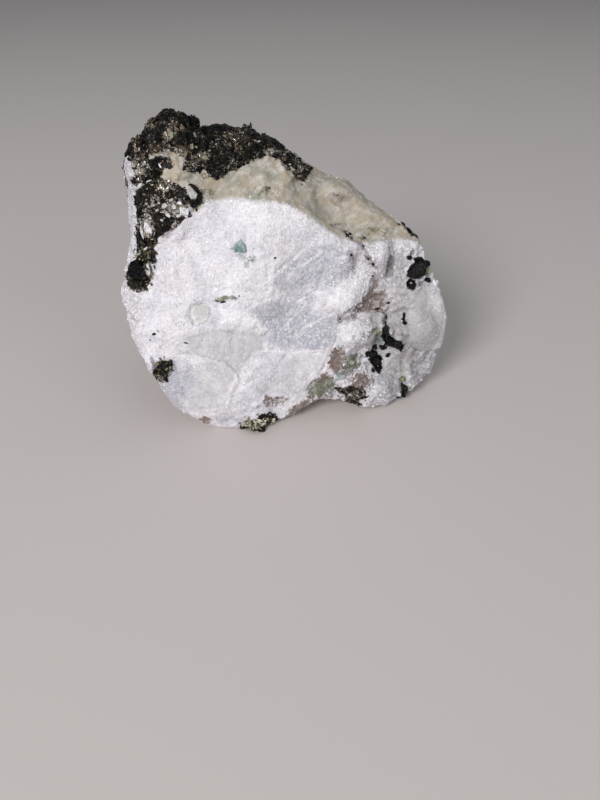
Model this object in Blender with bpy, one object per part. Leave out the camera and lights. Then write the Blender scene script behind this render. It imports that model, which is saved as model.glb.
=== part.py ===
"""A rough rainbow moonstone: one broken lump of white feldspar with a crust of dark mica and black crystals.

All sizes are in millimetres and are turned into metres when the mesh is written.
+Z is up, X runs along the stone's longest side, and the broken white face looks towards -Y.
The origin is under the middle of the stone, on the surface that it rests on.
"""

import math
import random

import bmesh
import bpy
from mathutils import Matrix, Vector, noise
from mathutils.bvhtree import BVHTree
from mathutils.kdtree import KDTree

MILLIMETRE = 0.001

# The rings below were drawn round this point, which becomes the origin.
MIDDLE = Vector((-1.6, -8.0, 0.0))

# Rings are read at this many clock angles round an axis that runs from front to back.
STATIONS = 96
AXIS_X = -2.0
AXIS_Z = 31.0

# The skin is rebuilt as even cells before it is roughened, and finer ones after.
BLANK_CELL = 1.15
ROUGH_CELL = 0.85
SKIN_TRIANGLES = 6200

# Rebuilding wears the sharp rim round the face down by this much, so the rim starts out wider.
RIM_SPARE = 0.7

# The middle of the broken white face and of the back.
FACE_MIDDLE = Vector((-3.0, -27.0, 27.0))
BACK_MIDDLE = Vector((-3.0, 19.0, 26.0))

# The edge of the broken face, clockwise from the top of the mica horn.
FACE_EDGE = (
    (-26.5, -16, 64), (-22.5, -15.5, 61.5), (-20, -18, 56.5), (-17, -19.5, 52.5),
    (-12, -19.5, 51), (-6, -18.5, 50), (0, -18, 48), (5.5, -17, 44.5),
    (10, -16.5, 41.5), (14, -16.5, 41.5), (19, -14.5, 40.5), (24, -12, 39),
    (27.5, -11, 35.5), (29.5, -12, 31.5), (30.5, -13, 25.5), (33, -15, 18),
    (33, -16.5, 11.5), (31, -18, 7), (28.5, -20, 4), (25, -23, 2.5),
    (20.5, -25, 2), (16, -26.5, 2), (12, -26, 4), (7.5, -27, 5.5),
    (2.5, -28.5, 6), (-2, -30, 3.5), (-6, -31.5, 2), (-10.5, -32.5, 1.5),
    (-15.5, -33, 2), (-20.5, -33.5, 3.5), (-25, -33.5, 6), (-28.5, -33, 10),
    (-32, -32, 17), (-34.5, -30.5, 24), (-35.5, -28.5, 30.5), (-35, -26, 36),
    (-33, -24, 40), (-33, -20, 50), (-32.5, -18, 58.5), (-30, -17.5, 62),
)

# The widest line round the stone, clockwise from the top of the mica horn.
OUTLINE = (
    (-27.5, -9, 65.5), (-23, -8, 65.5), (-20.5, -7, 65), (-19.5, -5, 63), (-16, -4, 61.5),
    (-10.5, -3, 60.5), (-4, -3, 58), (0, -4, 55.5), (2, -4, 53), (7, -5, 51),
    (12, -7, 49), (13.5, -7, 47), (19.5, -8, 43.5), (23.5, -9, 42), (27.5, -11, 39),
    (29.5, -13, 36), (30.5, -14, 32.5), (32.5, -15, 28), (32, -16, 25.5),
    (34.5, -16, 21.5), (35, -17, 16), (34.5, -18, 10), (32.5, -19, 5.5),
    (30, -20.5, 3), (25.5, -24, 1), (20, -25.5, 0.8), (15.5, -27, 0.4),
    (11.5, -27.5, 3), (7.5, -27, 3.6), (2.5, -29, 4), (-2, -31, 2), (-6, -32.5, 1),
    (-9.5, -33.8, 0), (-14.5, -33.4, 0), (-21, -32.5, 0.5), (-24, -32, 2), (-27.5, -31, 3.5),
    (-31, -30, 6.5), (-33, -29, 12.5), (-35, -28.5, 15.5), (-37, -27.5, 22),
    (-37.5, -26.5, 26.5), (-38.5, -25.5, 32), (-37, -25, 35), (-36.5, -24, 37),
    (-35, -21, 40.5), (-38.5, -12, 40), (-38, -10, 46.5), (-37, -10, 51),
    (-36.5, -11, 55), (-37, -12, 58.5), (-36.5, -12, 61), (-35, -10, 63.5), (-32, -9, 65.5),
)

# The section through the middle of the stone's depth.
WAIST = (
    (-26, 2, 60), (-14, 4, 57.5), (0, 4, 51.5), (12, 2, 43.5), (23, 2, 35.5), (31, 0, 26),
    (33, -3, 14), (28, -5, 4), (20, -5, -1.5), (8, -3, -2), (-4, -2, -2), (-16, -3, -2),
    (-27, -6, 2), (-34, -6, 14), (-37, -4, 28), (-37, -2, 42), (-33, 0, 54),
)

# The edge of the broken back.
BACK_EDGE = (
    (-22, 10, 50), (-8, 13, 50), (6, 12, 44), (17, 11, 35), (24, 10, 24), (24, 8, 12),
    (16, 6, 5), (4, 6, 3), (-8, 6, 3), (-20, 7, 6), (-28, 7, 14), (-31, 8, 27),
    (-29, 8, 40),
)

# Flat breaks: a point on each and the way that it faces.
BREAKS = {
    "white_face": ((-12, -33.8, 0), (0.2, -1, 0.268)),
    "back_left_top": ((-22, 6, 50), (-0.45, 0.6, 0.66)),
    "back_middle": ((-6, 14.5, 28), (-0.12, 1, 0.08)),
    "back_right": ((20, 7, 28), (0.72, 0.66, 0.2)),
    "back_foot": ((2, 8, 9), (0.1, 0.78, -0.62)),
    "left_foot": ((-33, -12, 14), (-0.82, 0.22, -0.53)),
    "left_side": ((-35.5, -4, 36), (-0.96, 0.26, 0.08)),
    "top_slope": ((6, 1, 48.5), (0.38, 0.42, 0.82)),
}

# Lumps and hollows in the skin: centre, radius and height, which is below 0 for a hollow.
RELIEF = {
    "horn": ((-26, -15, 61), 9, 1.6),
    "horn_step": ((-19.5, -8, 61), 4, -1.4),
    "second_mound": ((-10, -9, 57), 11, 1.5),
    "pale_vein": ((-26.5, -17, 57), 4, -0.9),
    "left_crust": ((-28, -21.5, 50), 8, 1.3),
    "face_top": ((-8, -25, 42), 13, 1.1),
    "face_left": ((-24, -30, 25), 13, 1.2),
    "face_middle": ((0, -27, 26), 9, -0.9),
    "face_foot": ((-14, -32, 11), 11, 1.2),
    "bright_lump": ((10, -22, 28), 6, 2.0),
    "knob": ((17, -18, 36.5), 4.5, 2.2),
    "knob_shade": ((21.5, -16, 33.5), 4.5, -1.8),
    "right_lobe": ((28, -18, 21), 12, 2.2),
    "rusty_hollow": ((17, -20.5, 27.5), 5, -1.6),
    "sugar_lump": ((14.5, -23, 20.5), 6, 1.3),
    "dark_gutter": ((19.5, -23, 16), 4.5, -1.2),
    "right_toe": ((20, -26, 5), 6, 1.2),
    "cream_lump": ((9, -6, 48), 5, 1.0),
    "crevice": ((11, -16.5, 42), 3.5, -1.5),
    "waist_hollow": ((-37, -6, 40), 9, -1.5),
    "underside_arch": ((6, -22, 0), 10, -2.2),
}

# Flat facets of the rough break: their size and how deep they cut. Each leans at random, is
# set up or down by a step, and blends into the next over a narrow edge.
FACETS = ((15.0, 7.5), (6.0, 2.6))
FACET_SHARPNESS = 18.0
FACET_STEP = 0.12

# Facets fade out this close to the widest line, which keeps its measured shape.
WIDEST_LINE_GUARD = 8.0

# The white face is calmer than the rest, but its rugged right end isn't.
CALM_ON_FACE = 0.72
RUGGED_FROM_X = 12.0

# Black crystals with flat faces: a point nearby, the way each points, its radius, how far it stands
# out of the stone, and its number of sides.
TOURMALINE = (
    ((-35, -26, 38), (-0.5, -0.82, 0.28), 2.6, 1.1, 9),
    ((26.8, -14, 33), (0.55, -0.72, 0.42), 2.5, 1.0, 6),
    ((30.2, -13, 30), (0.9, -0.35, 0.25), 1.4, 0.8, 6),
    ((26.4, -15.1, 29), (0.3, -0.9, 0.3), 1.4, 0.8, 6),
    ((20.9, -21.6, 20.2), (0.1, -0.8, 0.6), 2.1, 1.0, 6),
    ((23.4, -21.9, 17.5), (0.45, -0.85, 0.2), 1.9, 1.1, 6),
    ((18, -23.8, 14.6), (-0.2, -0.9, 0.35), 1.8, 0.9, 6),
    ((29.5, -21, 7.5), (0.5, -0.85, 0.1), 1.5, 0.8, 6),
    ((-31, -31.5, 17.5), (-0.35, -0.9, 0.2), 1.9, 0.7, 6),
    ((6, 14, 33), (0.2, 0.9, 0.3), 2.2, 1.0, 6),
    ((-20, 9, 44), (-0.4, 0.7, 0.6), 1.8, 0.9, 6),
    ((-37, -9, 33), (-0.95, 0.1, 0.2), 2.0, 0.9, 6),
)
CRYSTAL_ROOT = 2.5

# Books of dark mica: the middle and radius of each patch, and how many plates stand in it.
MICA_PATCHES = (
    ((-27, -13, 61), 9.0, 20),
    ((-10, -7, 58), 11.0, 20),
    ((-30, -21, 50), 8.5, 12),
    ((-9, -32.5, 2.5), 3.5, 6),
    ((-31, -31, 18.5), 2.5, 3),
    ((-30, 3, 54), 7.0, 6),
)
PLATE_SIDES = (5, 7)
PLATE_RADIUS = (1.9, 3.6)
PLATE_THICKNESS = (0.5, 0.9)
PLATE_NARROWING = (0.5, 0.95)
PLATE_LEAN = 0.42
SEED = 11

FELDSPAR, MICA, BLACK = range(3)
FINISHES = (    # name, colour, roughness, metallic
    ("white_feldspar", (0.80, 0.79, 0.81, 1.0), 0.42, 0.0),
    ("bronze_black_mica", (0.045, 0.036, 0.028, 1.0), 0.28, 0.35),
    ("black_tourmaline", (0.010, 0.010, 0.012, 1.0), 0.15, 0.0),
)


def clock_angle(point):
    """The angle round the stone's middle, as seen from the front."""
    return math.atan2(point.z - AXIS_Z, point.x - AXIS_X) % math.tau


def stations_of(ring, spare=0.0):
    """The ring read at equal clock angles, with straight runs between its corners."""
    corners = sorted((Vector(row) for row in ring), key=clock_angle)
    for corner in corners:
        corner += Vector((corner.x - AXIS_X, 0, corner.z - AXIS_Z)).normalized() * spare
    angles = [clock_angle(corner) for corner in corners]
    corners = [corners[-1]] + corners + [corners[0]]
    angles = [angles[-1] - math.tau] + angles + [angles[0] + math.tau]
    found = []
    right = 1
    for step in range(STATIONS):
        angle = math.tau * step / STATIONS
        while angles[right] < angle:
            right += 1
        share = (angle - angles[right - 1]) / (angles[right] - angles[right - 1])
        found.append(corners[right - 1].lerp(corners[right], share))
    return found


def skin(rings, front, back):
    """A closed mesh through the rings, closed by a fan at the front and at the back."""
    mesh = bmesh.new()
    loops = [[mesh.verts.new(point) for point in ring] for ring in rings]
    tips = mesh.verts.new(front), mesh.verts.new(back)
    for step in range(STATIONS):
        after = (step + 1) % STATIONS
        for near, far in zip(loops, loops[1:]):
            mesh.faces.new((near[step], near[after], far[after], far[step]))
        mesh.faces.new((tips[0], loops[0][after], loops[0][step]))
        mesh.faces.new((tips[1], loops[-1][step], loops[-1][after]))
    bmesh.ops.recalc_face_normals(mesh, faces=mesh.faces)
    return mesh


def break_off(mesh, point, direction):
    """Takes away what lies beyond a flat break, and closes the break with a flat face."""
    found = bmesh.ops.bisect_plane(
        mesh,
        geom=mesh.verts[:] + mesh.edges[:] + mesh.faces[:],
        plane_co=point,
        plane_no=direction,
        clear_outer=True,
    )
    edges = [piece for piece in found["geom_cut"] if isinstance(piece, bmesh.types.BMEdge)]
    bmesh.ops.holes_fill(mesh, edges=edges, sides=0)
    bmesh.ops.triangulate(mesh, faces=[face for face in mesh.faces if len(face.verts) > 4])


def object_from(name, mesh):
    """A new object with this mesh and the stone's finishes. The bmesh is used up."""
    data = bpy.data.meshes.new(name)
    mesh.to_mesh(data)
    mesh.free()
    for finish, *_ in FINISHES:
        data.materials.append(bpy.data.materials[finish])
    item = bpy.data.objects.new(name, data)
    bpy.context.scene.collection.objects.link(item)
    return item


def with_modifier(item, kind, **settings):
    """The object's mesh once a modifier is applied, as a new bmesh. The object is used up."""
    modifier = item.modifiers.new(kind.title(), kind)
    for name, value in settings.items():
        setattr(modifier, name, value)
    seen = item.evaluated_get(bpy.context.evaluated_depsgraph_get())
    mesh = bmesh.new()
    mesh.from_mesh(seen.to_mesh())
    seen.to_mesh_clear()
    bpy.data.objects.remove(item)
    return mesh


def rebuilt(mesh, cell, softening):
    """The skin rebuilt as even cells, with its edges softened a little."""
    mesh = with_modifier(object_from("skin", mesh), "REMESH", mode="VOXEL", voxel_size=cell)
    keep_outer_skin(mesh)
    bmesh.ops.smooth_vert(
        mesh, verts=mesh.verts, factor=softening, use_axis_x=True, use_axis_y=True, use_axis_z=True
    )
    return mesh


def keep_outer_skin(mesh):
    """Deletes the small closed pockets, which leaves the one outer skin."""
    waiting = set(mesh.verts)
    shells = []
    while waiting:
        first = waiting.pop()
        shell = {first}
        border = [first]
        while border:
            vert = border.pop()
            for edge in vert.link_edges:
                other = edge.other_vert(vert)
                if other not in shell:
                    shell.add(other)
                    border.append(other)
        waiting -= shell
        shells.append(shell)
    shells.sort(key=len)
    pockets = [vert for shell in shells[:-1] for vert in shell]
    bmesh.ops.delete(mesh, geom=pockets, context="VERTS")


def swelling(point):
    """How far the named lumps and hollows move the skin outwards here."""
    total = 0.0
    for centre, radius, height in RELIEF.values():
        share = (point - Vector(centre)).length / radius
        if share < 1.0:
            total += height * (1.0 - share * share) ** 2
    return total


def broken_facets(point, size):
    """The height of a break made of flat facets of about this size, from about -0.5 to 0.5."""
    distances, seeds = noise.voronoi(point / size)
    total = 0.0
    weights = 0.0
    for distance, seed in zip(distances, seeds):
        weight = math.exp(-FACET_SHARPNESS * (distance - distances[0]))
        lean = noise.cell_vector(seed * 9.7) - Vector((0.5, 0.5, 0.5))
        total += weight * (FACET_STEP * lean.x + (point / size - seed).dot(lean))
        weights += weight
    return total / weights


def roughen(mesh, widest):
    """Moves each point along its normal by the stone's own relief."""
    line = KDTree(len(widest))
    for index, point in enumerate(widest):
        line.insert(point, index)
    line.balance()
    mesh.normal_update()
    moves = []
    for vert in mesh.verts:
        towards_face = min(max(-vert.normal.y, 0.0), 1.0)
        if vert.co.x > RUGGED_FROM_X:
            towards_face *= 0.4
        calm = 1.0 - CALM_ON_FACE * towards_face
        calm *= min(line.find(vert.co)[2] / WIDEST_LINE_GUARD, 1.0)
        height = swelling(vert.co)
        for size, depth in FACETS:
            height += depth * calm * broken_facets(vert.co, size)
        moves.append(vert.normal * height)
    for vert, move in zip(mesh.verts, moves):
        vert.co += move


def add_prism(mesh, middle, direction, radius, length, sides, finish, narrowing=1.0, spin=0.0):
    """Adds a straight crystal with flat sides round its middle, which points along direction."""
    made = bmesh.ops.create_cone(
        mesh, cap_ends=True, segments=sides, radius1=radius, radius2=radius * 0.94, depth=length
    )
    verts = made["verts"]
    bmesh.ops.scale(mesh, vec=(1.0, narrowing, 1.0), verts=verts)
    turn = Vector(direction).to_track_quat("Z", "Y").to_matrix() @ Matrix.Rotation(spin, 3, "Z")
    bmesh.ops.rotate(mesh, matrix=turn, verts=verts)
    bmesh.ops.translate(mesh, vec=middle, verts=verts)
    for face in {face for vert in verts for face in vert.link_faces}:
        face.material_index = finish


def add_tourmaline(crystals, surface):
    """Stands the black prisms in the skin that each one grows from."""
    for near, direction, radius, proud, sides in TOURMALINE:
        place, *_ = surface.find_nearest(Vector(near))
        middle = place + Vector(direction).normalized() * (proud - CRYSTAL_ROOT) / 2
        add_prism(crystals, middle, direction, radius, CRYSTAL_ROOT + proud, sides, BLACK)


def add_mica(crystals, surface):
    """Lays small plates of mica on the skin, each leaning so that one edge stands out as a ledge."""
    draw = random.Random(SEED)
    for centre, radius, count in MICA_PATCHES:
        for _ in range(count):
            aim = Vector([draw.gauss(0, 0.45) for _ in range(3)]) * radius + Vector(centre)
            place, outward, *_ = surface.find_nearest(aim)
            lean = Vector([draw.uniform(-1, 1) for _ in range(3)]) * PLATE_LEAN
            add_prism(
                crystals,
                place,
                outward + lean,
                draw.uniform(*PLATE_RADIUS),
                draw.uniform(*PLATE_THICKNESS),
                draw.randint(*PLATE_SIDES),
                MICA,
                draw.uniform(*PLATE_NARROWING),
                draw.uniform(0, math.pi),
            )


def with_crystals(mesh):
    """The stone joined with everything that has grown from it, as one solid."""
    surface = BVHTree.FromBMesh(mesh)
    crystals = bmesh.new()
    add_tourmaline(crystals, surface)
    add_mica(crystals, surface)
    tool = object_from("crystals", crystals)
    joined = with_modifier(
        object_from("stone", mesh),
        "BOOLEAN",
        operation="UNION",
        solver="EXACT",
        use_self=True,
        object=tool,
    )
    bpy.data.objects.remove(tool)
    return joined


def paint_patches(mesh):
    """Gives the mica's finish to the skin between its plates."""
    for face in mesh.faces:
        middle = face.calc_center_median()
        for centre, radius, _ in MICA_PATCHES:
            if face.material_index == FELDSPAR and (middle - Vector(centre)).length < radius:
                face.material_index = MICA


def add_finishes():
    for name, colour, roughness, metallic in FINISHES:
        material = bpy.data.materials.new(name)
        material.use_nodes = True
        shader = material.node_tree.nodes["Principled BSDF"]
        shader.inputs["Base Color"].default_value = colour
        shader.inputs["Roughness"].default_value = roughness
        shader.inputs["Metallic"].default_value = metallic


def main():
    for item in list(bpy.data.objects):
        bpy.data.objects.remove(item)
    add_finishes()
    widest = stations_of(OUTLINE, RIM_SPARE)
    rings = [stations_of(FACE_EDGE, RIM_SPARE), widest, stations_of(WAIST), stations_of(BACK_EDGE)]
    mesh = skin(rings, FACE_MIDDLE, BACK_MIDDLE)
    for point, direction in BREAKS.values():
        break_off(mesh, point, direction)
    mesh = rebuilt(mesh, BLANK_CELL, 0.5)
    roughen(mesh, widest)
    mesh = rebuilt(mesh, ROUGH_CELL, 0.2)
    ratio = SKIN_TRIANGLES / (2 * len(mesh.faces))
    mesh = with_modifier(object_from("rough", mesh), "DECIMATE", ratio=ratio)
    paint_patches(mesh)
    mesh = with_crystals(mesh)
    break_off(mesh, Vector(), Vector((0, 0, -1)))
    keep_outer_skin(mesh)
    bmesh.ops.translate(mesh, vec=-MIDDLE, verts=mesh.verts)
    bmesh.ops.scale(mesh, vec=(MILLIMETRE,) * 3, verts=mesh.verts)
    object_from("moonstone", mesh)


main()
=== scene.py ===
# %% [markdown]
# # A rough rainbow moonstone
# The stone is one broken lump of white feldspar. Dark mica grows over its top and its left side, and
# small black prisms of tourmaline sit in its right end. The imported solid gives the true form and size.
# This lesson gives that form its skin: fine relief, colour zones, mica flakes, crystals and light.

# %% The frame
import math

import bmesh
import bpy
import numpy as np
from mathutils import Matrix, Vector, noise
from mathutils.bvhtree import BVHTree


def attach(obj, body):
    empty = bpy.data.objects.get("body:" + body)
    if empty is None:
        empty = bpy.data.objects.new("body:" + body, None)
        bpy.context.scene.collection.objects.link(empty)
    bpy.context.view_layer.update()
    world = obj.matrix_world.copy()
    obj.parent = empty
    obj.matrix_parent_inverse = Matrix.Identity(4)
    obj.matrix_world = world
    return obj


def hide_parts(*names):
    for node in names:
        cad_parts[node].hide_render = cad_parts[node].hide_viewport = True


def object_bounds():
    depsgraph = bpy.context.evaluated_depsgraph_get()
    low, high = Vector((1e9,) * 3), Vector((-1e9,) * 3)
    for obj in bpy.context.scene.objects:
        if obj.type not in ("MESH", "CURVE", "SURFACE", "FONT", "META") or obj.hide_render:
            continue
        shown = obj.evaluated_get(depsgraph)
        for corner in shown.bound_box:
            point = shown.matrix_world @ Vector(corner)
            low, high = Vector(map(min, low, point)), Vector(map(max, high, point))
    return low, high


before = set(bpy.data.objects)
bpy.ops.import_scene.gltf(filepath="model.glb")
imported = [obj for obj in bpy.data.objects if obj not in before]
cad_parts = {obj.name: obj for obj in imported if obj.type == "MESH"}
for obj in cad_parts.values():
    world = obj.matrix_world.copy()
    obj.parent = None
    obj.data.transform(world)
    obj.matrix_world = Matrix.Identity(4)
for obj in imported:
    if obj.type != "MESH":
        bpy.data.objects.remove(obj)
cad_low, cad_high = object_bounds()
stone_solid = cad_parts["moonstone"]
MM = 0.001
print("the solid is", [round(side / MM, 1) for side in cad_high - cad_low], "mm")

# %% [markdown]
# ## The camera
# The photograph was taken with a phone, about 39 degrees down on the stone. A camera with the same
# place, tilt and lens lets every mark on the stone be named by its pixel in the 600 by 800 picture.
# It is made first, because the marks below are found by looking through it.

# %% The camera
IMAGE_MIDDLE = np.array([300.0, 400.0])
IMAGE_HEIGHT = 800
LENS_PIXELS = 600.0
CAMERA_PLACE = np.array([1.8, -133.1, 96.5]) * MM
CAMERA_DOWN = math.radians(38.95)
SENSOR = 36.0
NEAREST_SEEN = 0.01     # metres

look = np.array([0.0, math.cos(CAMERA_DOWN), -math.sin(CAMERA_DOWN)])
right = np.array([1.0, 0.0, 0.0])
up = np.array([0.0, math.sin(CAMERA_DOWN), math.cos(CAMERA_DOWN)])


def linked(name, data):
    """A new object with this data, in the scene."""
    item = bpy.data.objects.new(name, data)
    bpy.context.scene.collection.objects.link(item)
    return item


lens = bpy.data.cameras.new("camera")
lens.sensor_width = SENSOR
lens.lens = SENSOR * LENS_PIXELS / IMAGE_HEIGHT
lens.clip_start = NEAREST_SEEN
camera = linked("camera", lens)
camera.location = CAMERA_PLACE
camera.rotation_euler = (math.pi / 2 - CAMERA_DOWN, 0, 0)
bpy.context.scene.camera = camera
print("lens", round(lens.lens, 1), "mm")

# %% [markdown]
# ## From places to pixels and back
# Two helpers do in numbers what the lens does. One says at which pixel a point of the stone shows, and
# the other in which direction a pixel looks. With them a mark is placed by its pixel in the
# picture, which is quicker and surer than guessing its place in space.

# %% Places and pixels
def pixels_of(places):
    """The pixel where each place is seen."""
    away = places - CAMERA_PLACE
    deep = away @ look
    across = IMAGE_MIDDLE[0] + LENS_PIXELS * (away @ right) / deep
    down = IMAGE_MIDDLE[1] - LENS_PIXELS * (away @ up) / deep
    return np.stack([across, down], axis=1)


def sight_line(pixel):
    """The direction in which a pixel looks."""
    across, down = np.array(pixel, float) - IMAGE_MIDDLE
    return Vector(look + right * across / LENS_PIXELS - up * down / LENS_PIXELS).normalized()


PIXELS_PER_MM = LENS_PIXELS / (np.linalg.norm(CAMERA_PLACE) / MM)
print("about", round(PIXELS_PER_MM, 1), "pixels to a millimetre of stone")

# %% [markdown]
# ## The skin
# The solid has under ten thousand faces. A voxel remesh turns a copy of it into even small cells,
# which can carry the sugary relief of broken feldspar. Even cells are better here than subdivision,
# because the solid's faces are long in some places and tiny in others.

# %% A fine copy of the solid
CELL = 0.45 * MM
SAME_POINT = 0.001 * MM


def finished_mesh(item, name):
    """The object's mesh with its modifiers applied. The object is used up."""
    seen = item.evaluated_get(bpy.context.evaluated_depsgraph_get())
    mesh = bpy.data.meshes.new_from_object(seen)
    mesh.name = name
    bpy.data.objects.remove(item)
    return mesh


merged = bmesh.new()
merged.from_mesh(stone_solid.data)
bmesh.ops.remove_doubles(merged, verts=merged.verts, dist=SAME_POINT)
rough_mesh = bpy.data.meshes.new("rough")
merged.to_mesh(rough_mesh)
merged.free()
rough = linked("rough", rough_mesh)
cells = rough.modifiers.new("Cells", "REMESH")
cells.mode = "VOXEL"
cells.voxel_size = CELL
skin_mesh = finished_mesh(rough, "stone")
print("the skin has", len(skin_mesh.vertices), "points")

# %% [markdown]
# ## The skin as arrays
# Moving so many points one by one is slow in Python. Read into arrays, they move all at once, and a
# sum over the edges averages each point with its neighbours. That average takes away the small
# stairs of the remesh, and it tells the broad slope of the stone at each point.

# %% Places and neighbours as arrays
SOFTENING = 0.6
SOFTENING_ROUNDS = 2
SLOPE_ROUNDS = 12


def read_vectors(mesh, what):
    """One vector for each point. "co" reads its place, and "normal" the way it faces."""
    flat = np.zeros(len(mesh.vertices) * 3, np.float32)
    mesh.vertices.foreach_get(what, flat)
    return flat.reshape(-1, 3).astype(float)


def write_places(mesh, places):
    """Moves each point of the mesh to its new place."""
    mesh.vertices.foreach_set("co", places.astype(np.float32).ravel())
    mesh.update()


edges = np.zeros(len(skin_mesh.edges) * 2, np.int32)
skin_mesh.edges.foreach_get("vertices", edges)
edges = edges.reshape(-1, 2)
degree = np.bincount(edges.ravel(), minlength=len(skin_mesh.vertices)).astype(float)


def spread(values, rounds):
    """Each point's value averaged with its neighbours', several times."""
    values = np.array(values, float)
    share = degree if values.ndim == 1 else degree[:, None]
    for _ in range(rounds):
        total = np.zeros_like(values)
        np.add.at(total, edges[:, 0], values[edges[:, 1]])
        np.add.at(total, edges[:, 1], values[edges[:, 0]])
        values = 0.5 * values + 0.5 * total / share
    return values


base = read_vectors(skin_mesh, "co")
base = base + SOFTENING * (spread(base, SOFTENING_ROUNDS) - base)
write_places(skin_mesh, base)
normals = read_vectors(skin_mesh, "normal")
broad = spread(normals, SLOPE_ROUNDS)
broad /= np.linalg.norm(broad, axis=1)[:, None]
print("the skin is softened and its broad slopes are known")

# %% [markdown]
# ## What the photograph shows, and what it doesn't
# Marks that are named by pixel belong on the front. Each point of the skin keeps how squarely it
# faces the camera, so the same marks don't come through on the back. The back gets its colour
# zones from round patches in space instead, which meet the front ones along the edge of the stone.

# %% Which points the camera sees
EDGE_OF_SIGHT = 0.12    # how far to each side of the stone's edge the front fades out

spots = pixels_of(base)
to_camera = CAMERA_PLACE - base
to_camera /= np.linalg.norm(to_camera, axis=1)[:, None]
facing = np.einsum("ij,ij->i", broad, to_camera)
seen = np.clip((facing + EDGE_OF_SIGHT) / (2 * EDGE_OF_SIGHT), 0, 1)
millimetres = base / MM
print(round(100 * float(np.mean(seen > 0.5))), "percent of the skin faces the camera")

# %% [markdown]
# ## Three kinds of mark
# A mark with a sharp edge is an outline of pixels, a soft stain is an oval, and a crack is a line.
# Each gives one number at every point of the skin. Cloudy noise is added to most of them, because
# hardly anything on a broken stone has a clean edge.

# %% Outlines, blots and lines in the picture
def distance_to_run(start, end):
    """How many pixels each point is from one straight run of a line."""
    run = end - start
    share = np.clip((spots - start) @ run / (run @ run), 0, 1)
    return np.linalg.norm(spots - start - share[:, None] * run, axis=1)


def depth_inside(outline):
    """How many millimetres each point lies inside an outline drawn in pixels; below 0 outside it."""
    corners = np.array(outline, float)
    nearest = np.full(len(spots), np.inf)
    inside = np.zeros(len(spots), bool)
    for start, end in zip(corners, np.roll(corners, -1, axis=0)):
        nearest = np.minimum(nearest, distance_to_run(start, end))
        run = end - start
        crosses = (start[1] > spots[:, 1]) != (end[1] > spots[:, 1])
        level = start[0] + (spots[:, 1] - start[1]) * run[0] / (run[1] if run[1] else 1e-9)
        inside ^= crosses & (spots[:, 0] < level)
    return np.where(inside, nearest, -nearest) / PIXELS_PER_MM


def blot(centre, radii, turn=0.0):
    """A soft oval mark: 1 in its middle and 0 from its rim outwards."""
    angle = math.radians(turn)
    away = spots - np.array(centre, float)
    along = (away[:, 0] * math.cos(angle) + away[:, 1] * math.sin(angle)) / radii[0]
    across = (away[:, 1] * math.cos(angle) - away[:, 0] * math.sin(angle)) / radii[1]
    return np.clip(1.0 - along ** 2 - across ** 2, 0, 1) ** 0.7


def line_distance(line):
    """How many millimetres each point is from a line drawn in pixels."""
    corners = np.array(line, float)
    runs = [distance_to_run(start, end) for start, end in zip(corners[:-1], corners[1:])]
    return np.min(runs, axis=0) / PIXELS_PER_MM


def rough_noise(scale, seed, octaves=3):
    """Cloudy noise over the skin, from about -1 to 1, with patches of this size in millimetres."""
    shift = Vector((seed * 17.3, seed * 5.1, seed * 9.7))
    return np.array([
        noise.fractal(Vector(place) / scale + shift, 0.9, 2.1, octaves) for place in millimetres
    ])


wander = rough_noise(4.0, 1)
print("noise from", round(float(wander.min()), 2), "to", round(float(wander.max()), 2))

# %% [markdown]
# ## Where the mica is
# The mica crust covers the horn at the top left, the mound behind it and a ragged strip down the
# left edge. It is drawn as outlines round the dark parts. The outlines give a depth in millimetres,
# not just yes or no, so that noise can make the border ragged. A second list says where pale grains
# are mixed into the mica, and a third where more of the flakes are bronze.

# %% The mica crust
CRUST = {
    "top": (
        (118, 150), (118, 120), (150, 96), (204, 96), (214, 110), (262, 112), (322, 148), (312, 168),
        (309, 174), (303, 181), (297, 176), (290, 169), (285, 162), (276, 157), (266, 154), (258, 158),
        (249, 161), (243, 165), (237, 170), (228, 172), (222, 177), (216, 179), (210, 177), (205, 170),
        (198, 172), (190, 172), (184, 169), (188, 160), (182, 153), (172, 150), (158, 150), (146, 157),
        (134, 158), (124, 155),
    ),
    "upper_left": (
        (131, 156), (150, 158), (158, 156), (164, 158), (171, 160), (170, 168), (163, 168), (163, 174),
        (158, 179), (150, 183), (143, 184), (137, 180), (134, 172), (131, 163),
    ),
    "grain_left": ((131, 177), (136, 178), (140, 182), (136, 185), (132, 182)),
    "left": (
        (142, 186), (150, 181), (160, 178), (170, 181), (178, 185), (185, 190), (191, 197), (200, 203),
        (197, 207), (191, 208), (188, 203), (184, 200), (188, 206), (190, 214), (182, 222), (175, 229),
        (165, 233), (158, 238), (157, 243), (151, 249), (155, 252), (156, 262), (148, 263), (140, 260),
        (136, 262), (137, 250), (137, 236), (138, 222), (137, 208), (134, 198), (138, 190),
    ),
    "window_edge": ((190, 184), (196, 186), (202, 193), (203, 199), (199, 201), (196, 195)),
    "oval_rim": ((126, 278), (131, 262), (143, 258), (151, 264), (151, 278), (147, 287), (138, 289)),
    "left_nest": ((153, 372), (160, 362), (171, 359), (173, 365), (168, 374), (166, 383), (158, 380)),
    "foot_nest": ((243, 430), (252, 420), (264, 414), (276, 415), (281, 422), (270, 434), (250, 436)),
    "toe_nest": (
        (336, 386), (343, 389), (352, 386), (360, 388), (367, 391), (364, 398), (357, 400), (357, 408),
        (350, 404), (345, 397), (338, 394),
    ),
    "toe_edge": ((403, 384), (407, 386), (409, 394), (405, 401), (401, 399)),
    "rim_line": ((401, 222), (404, 222), (415, 234), (412, 236)),
}
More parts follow.
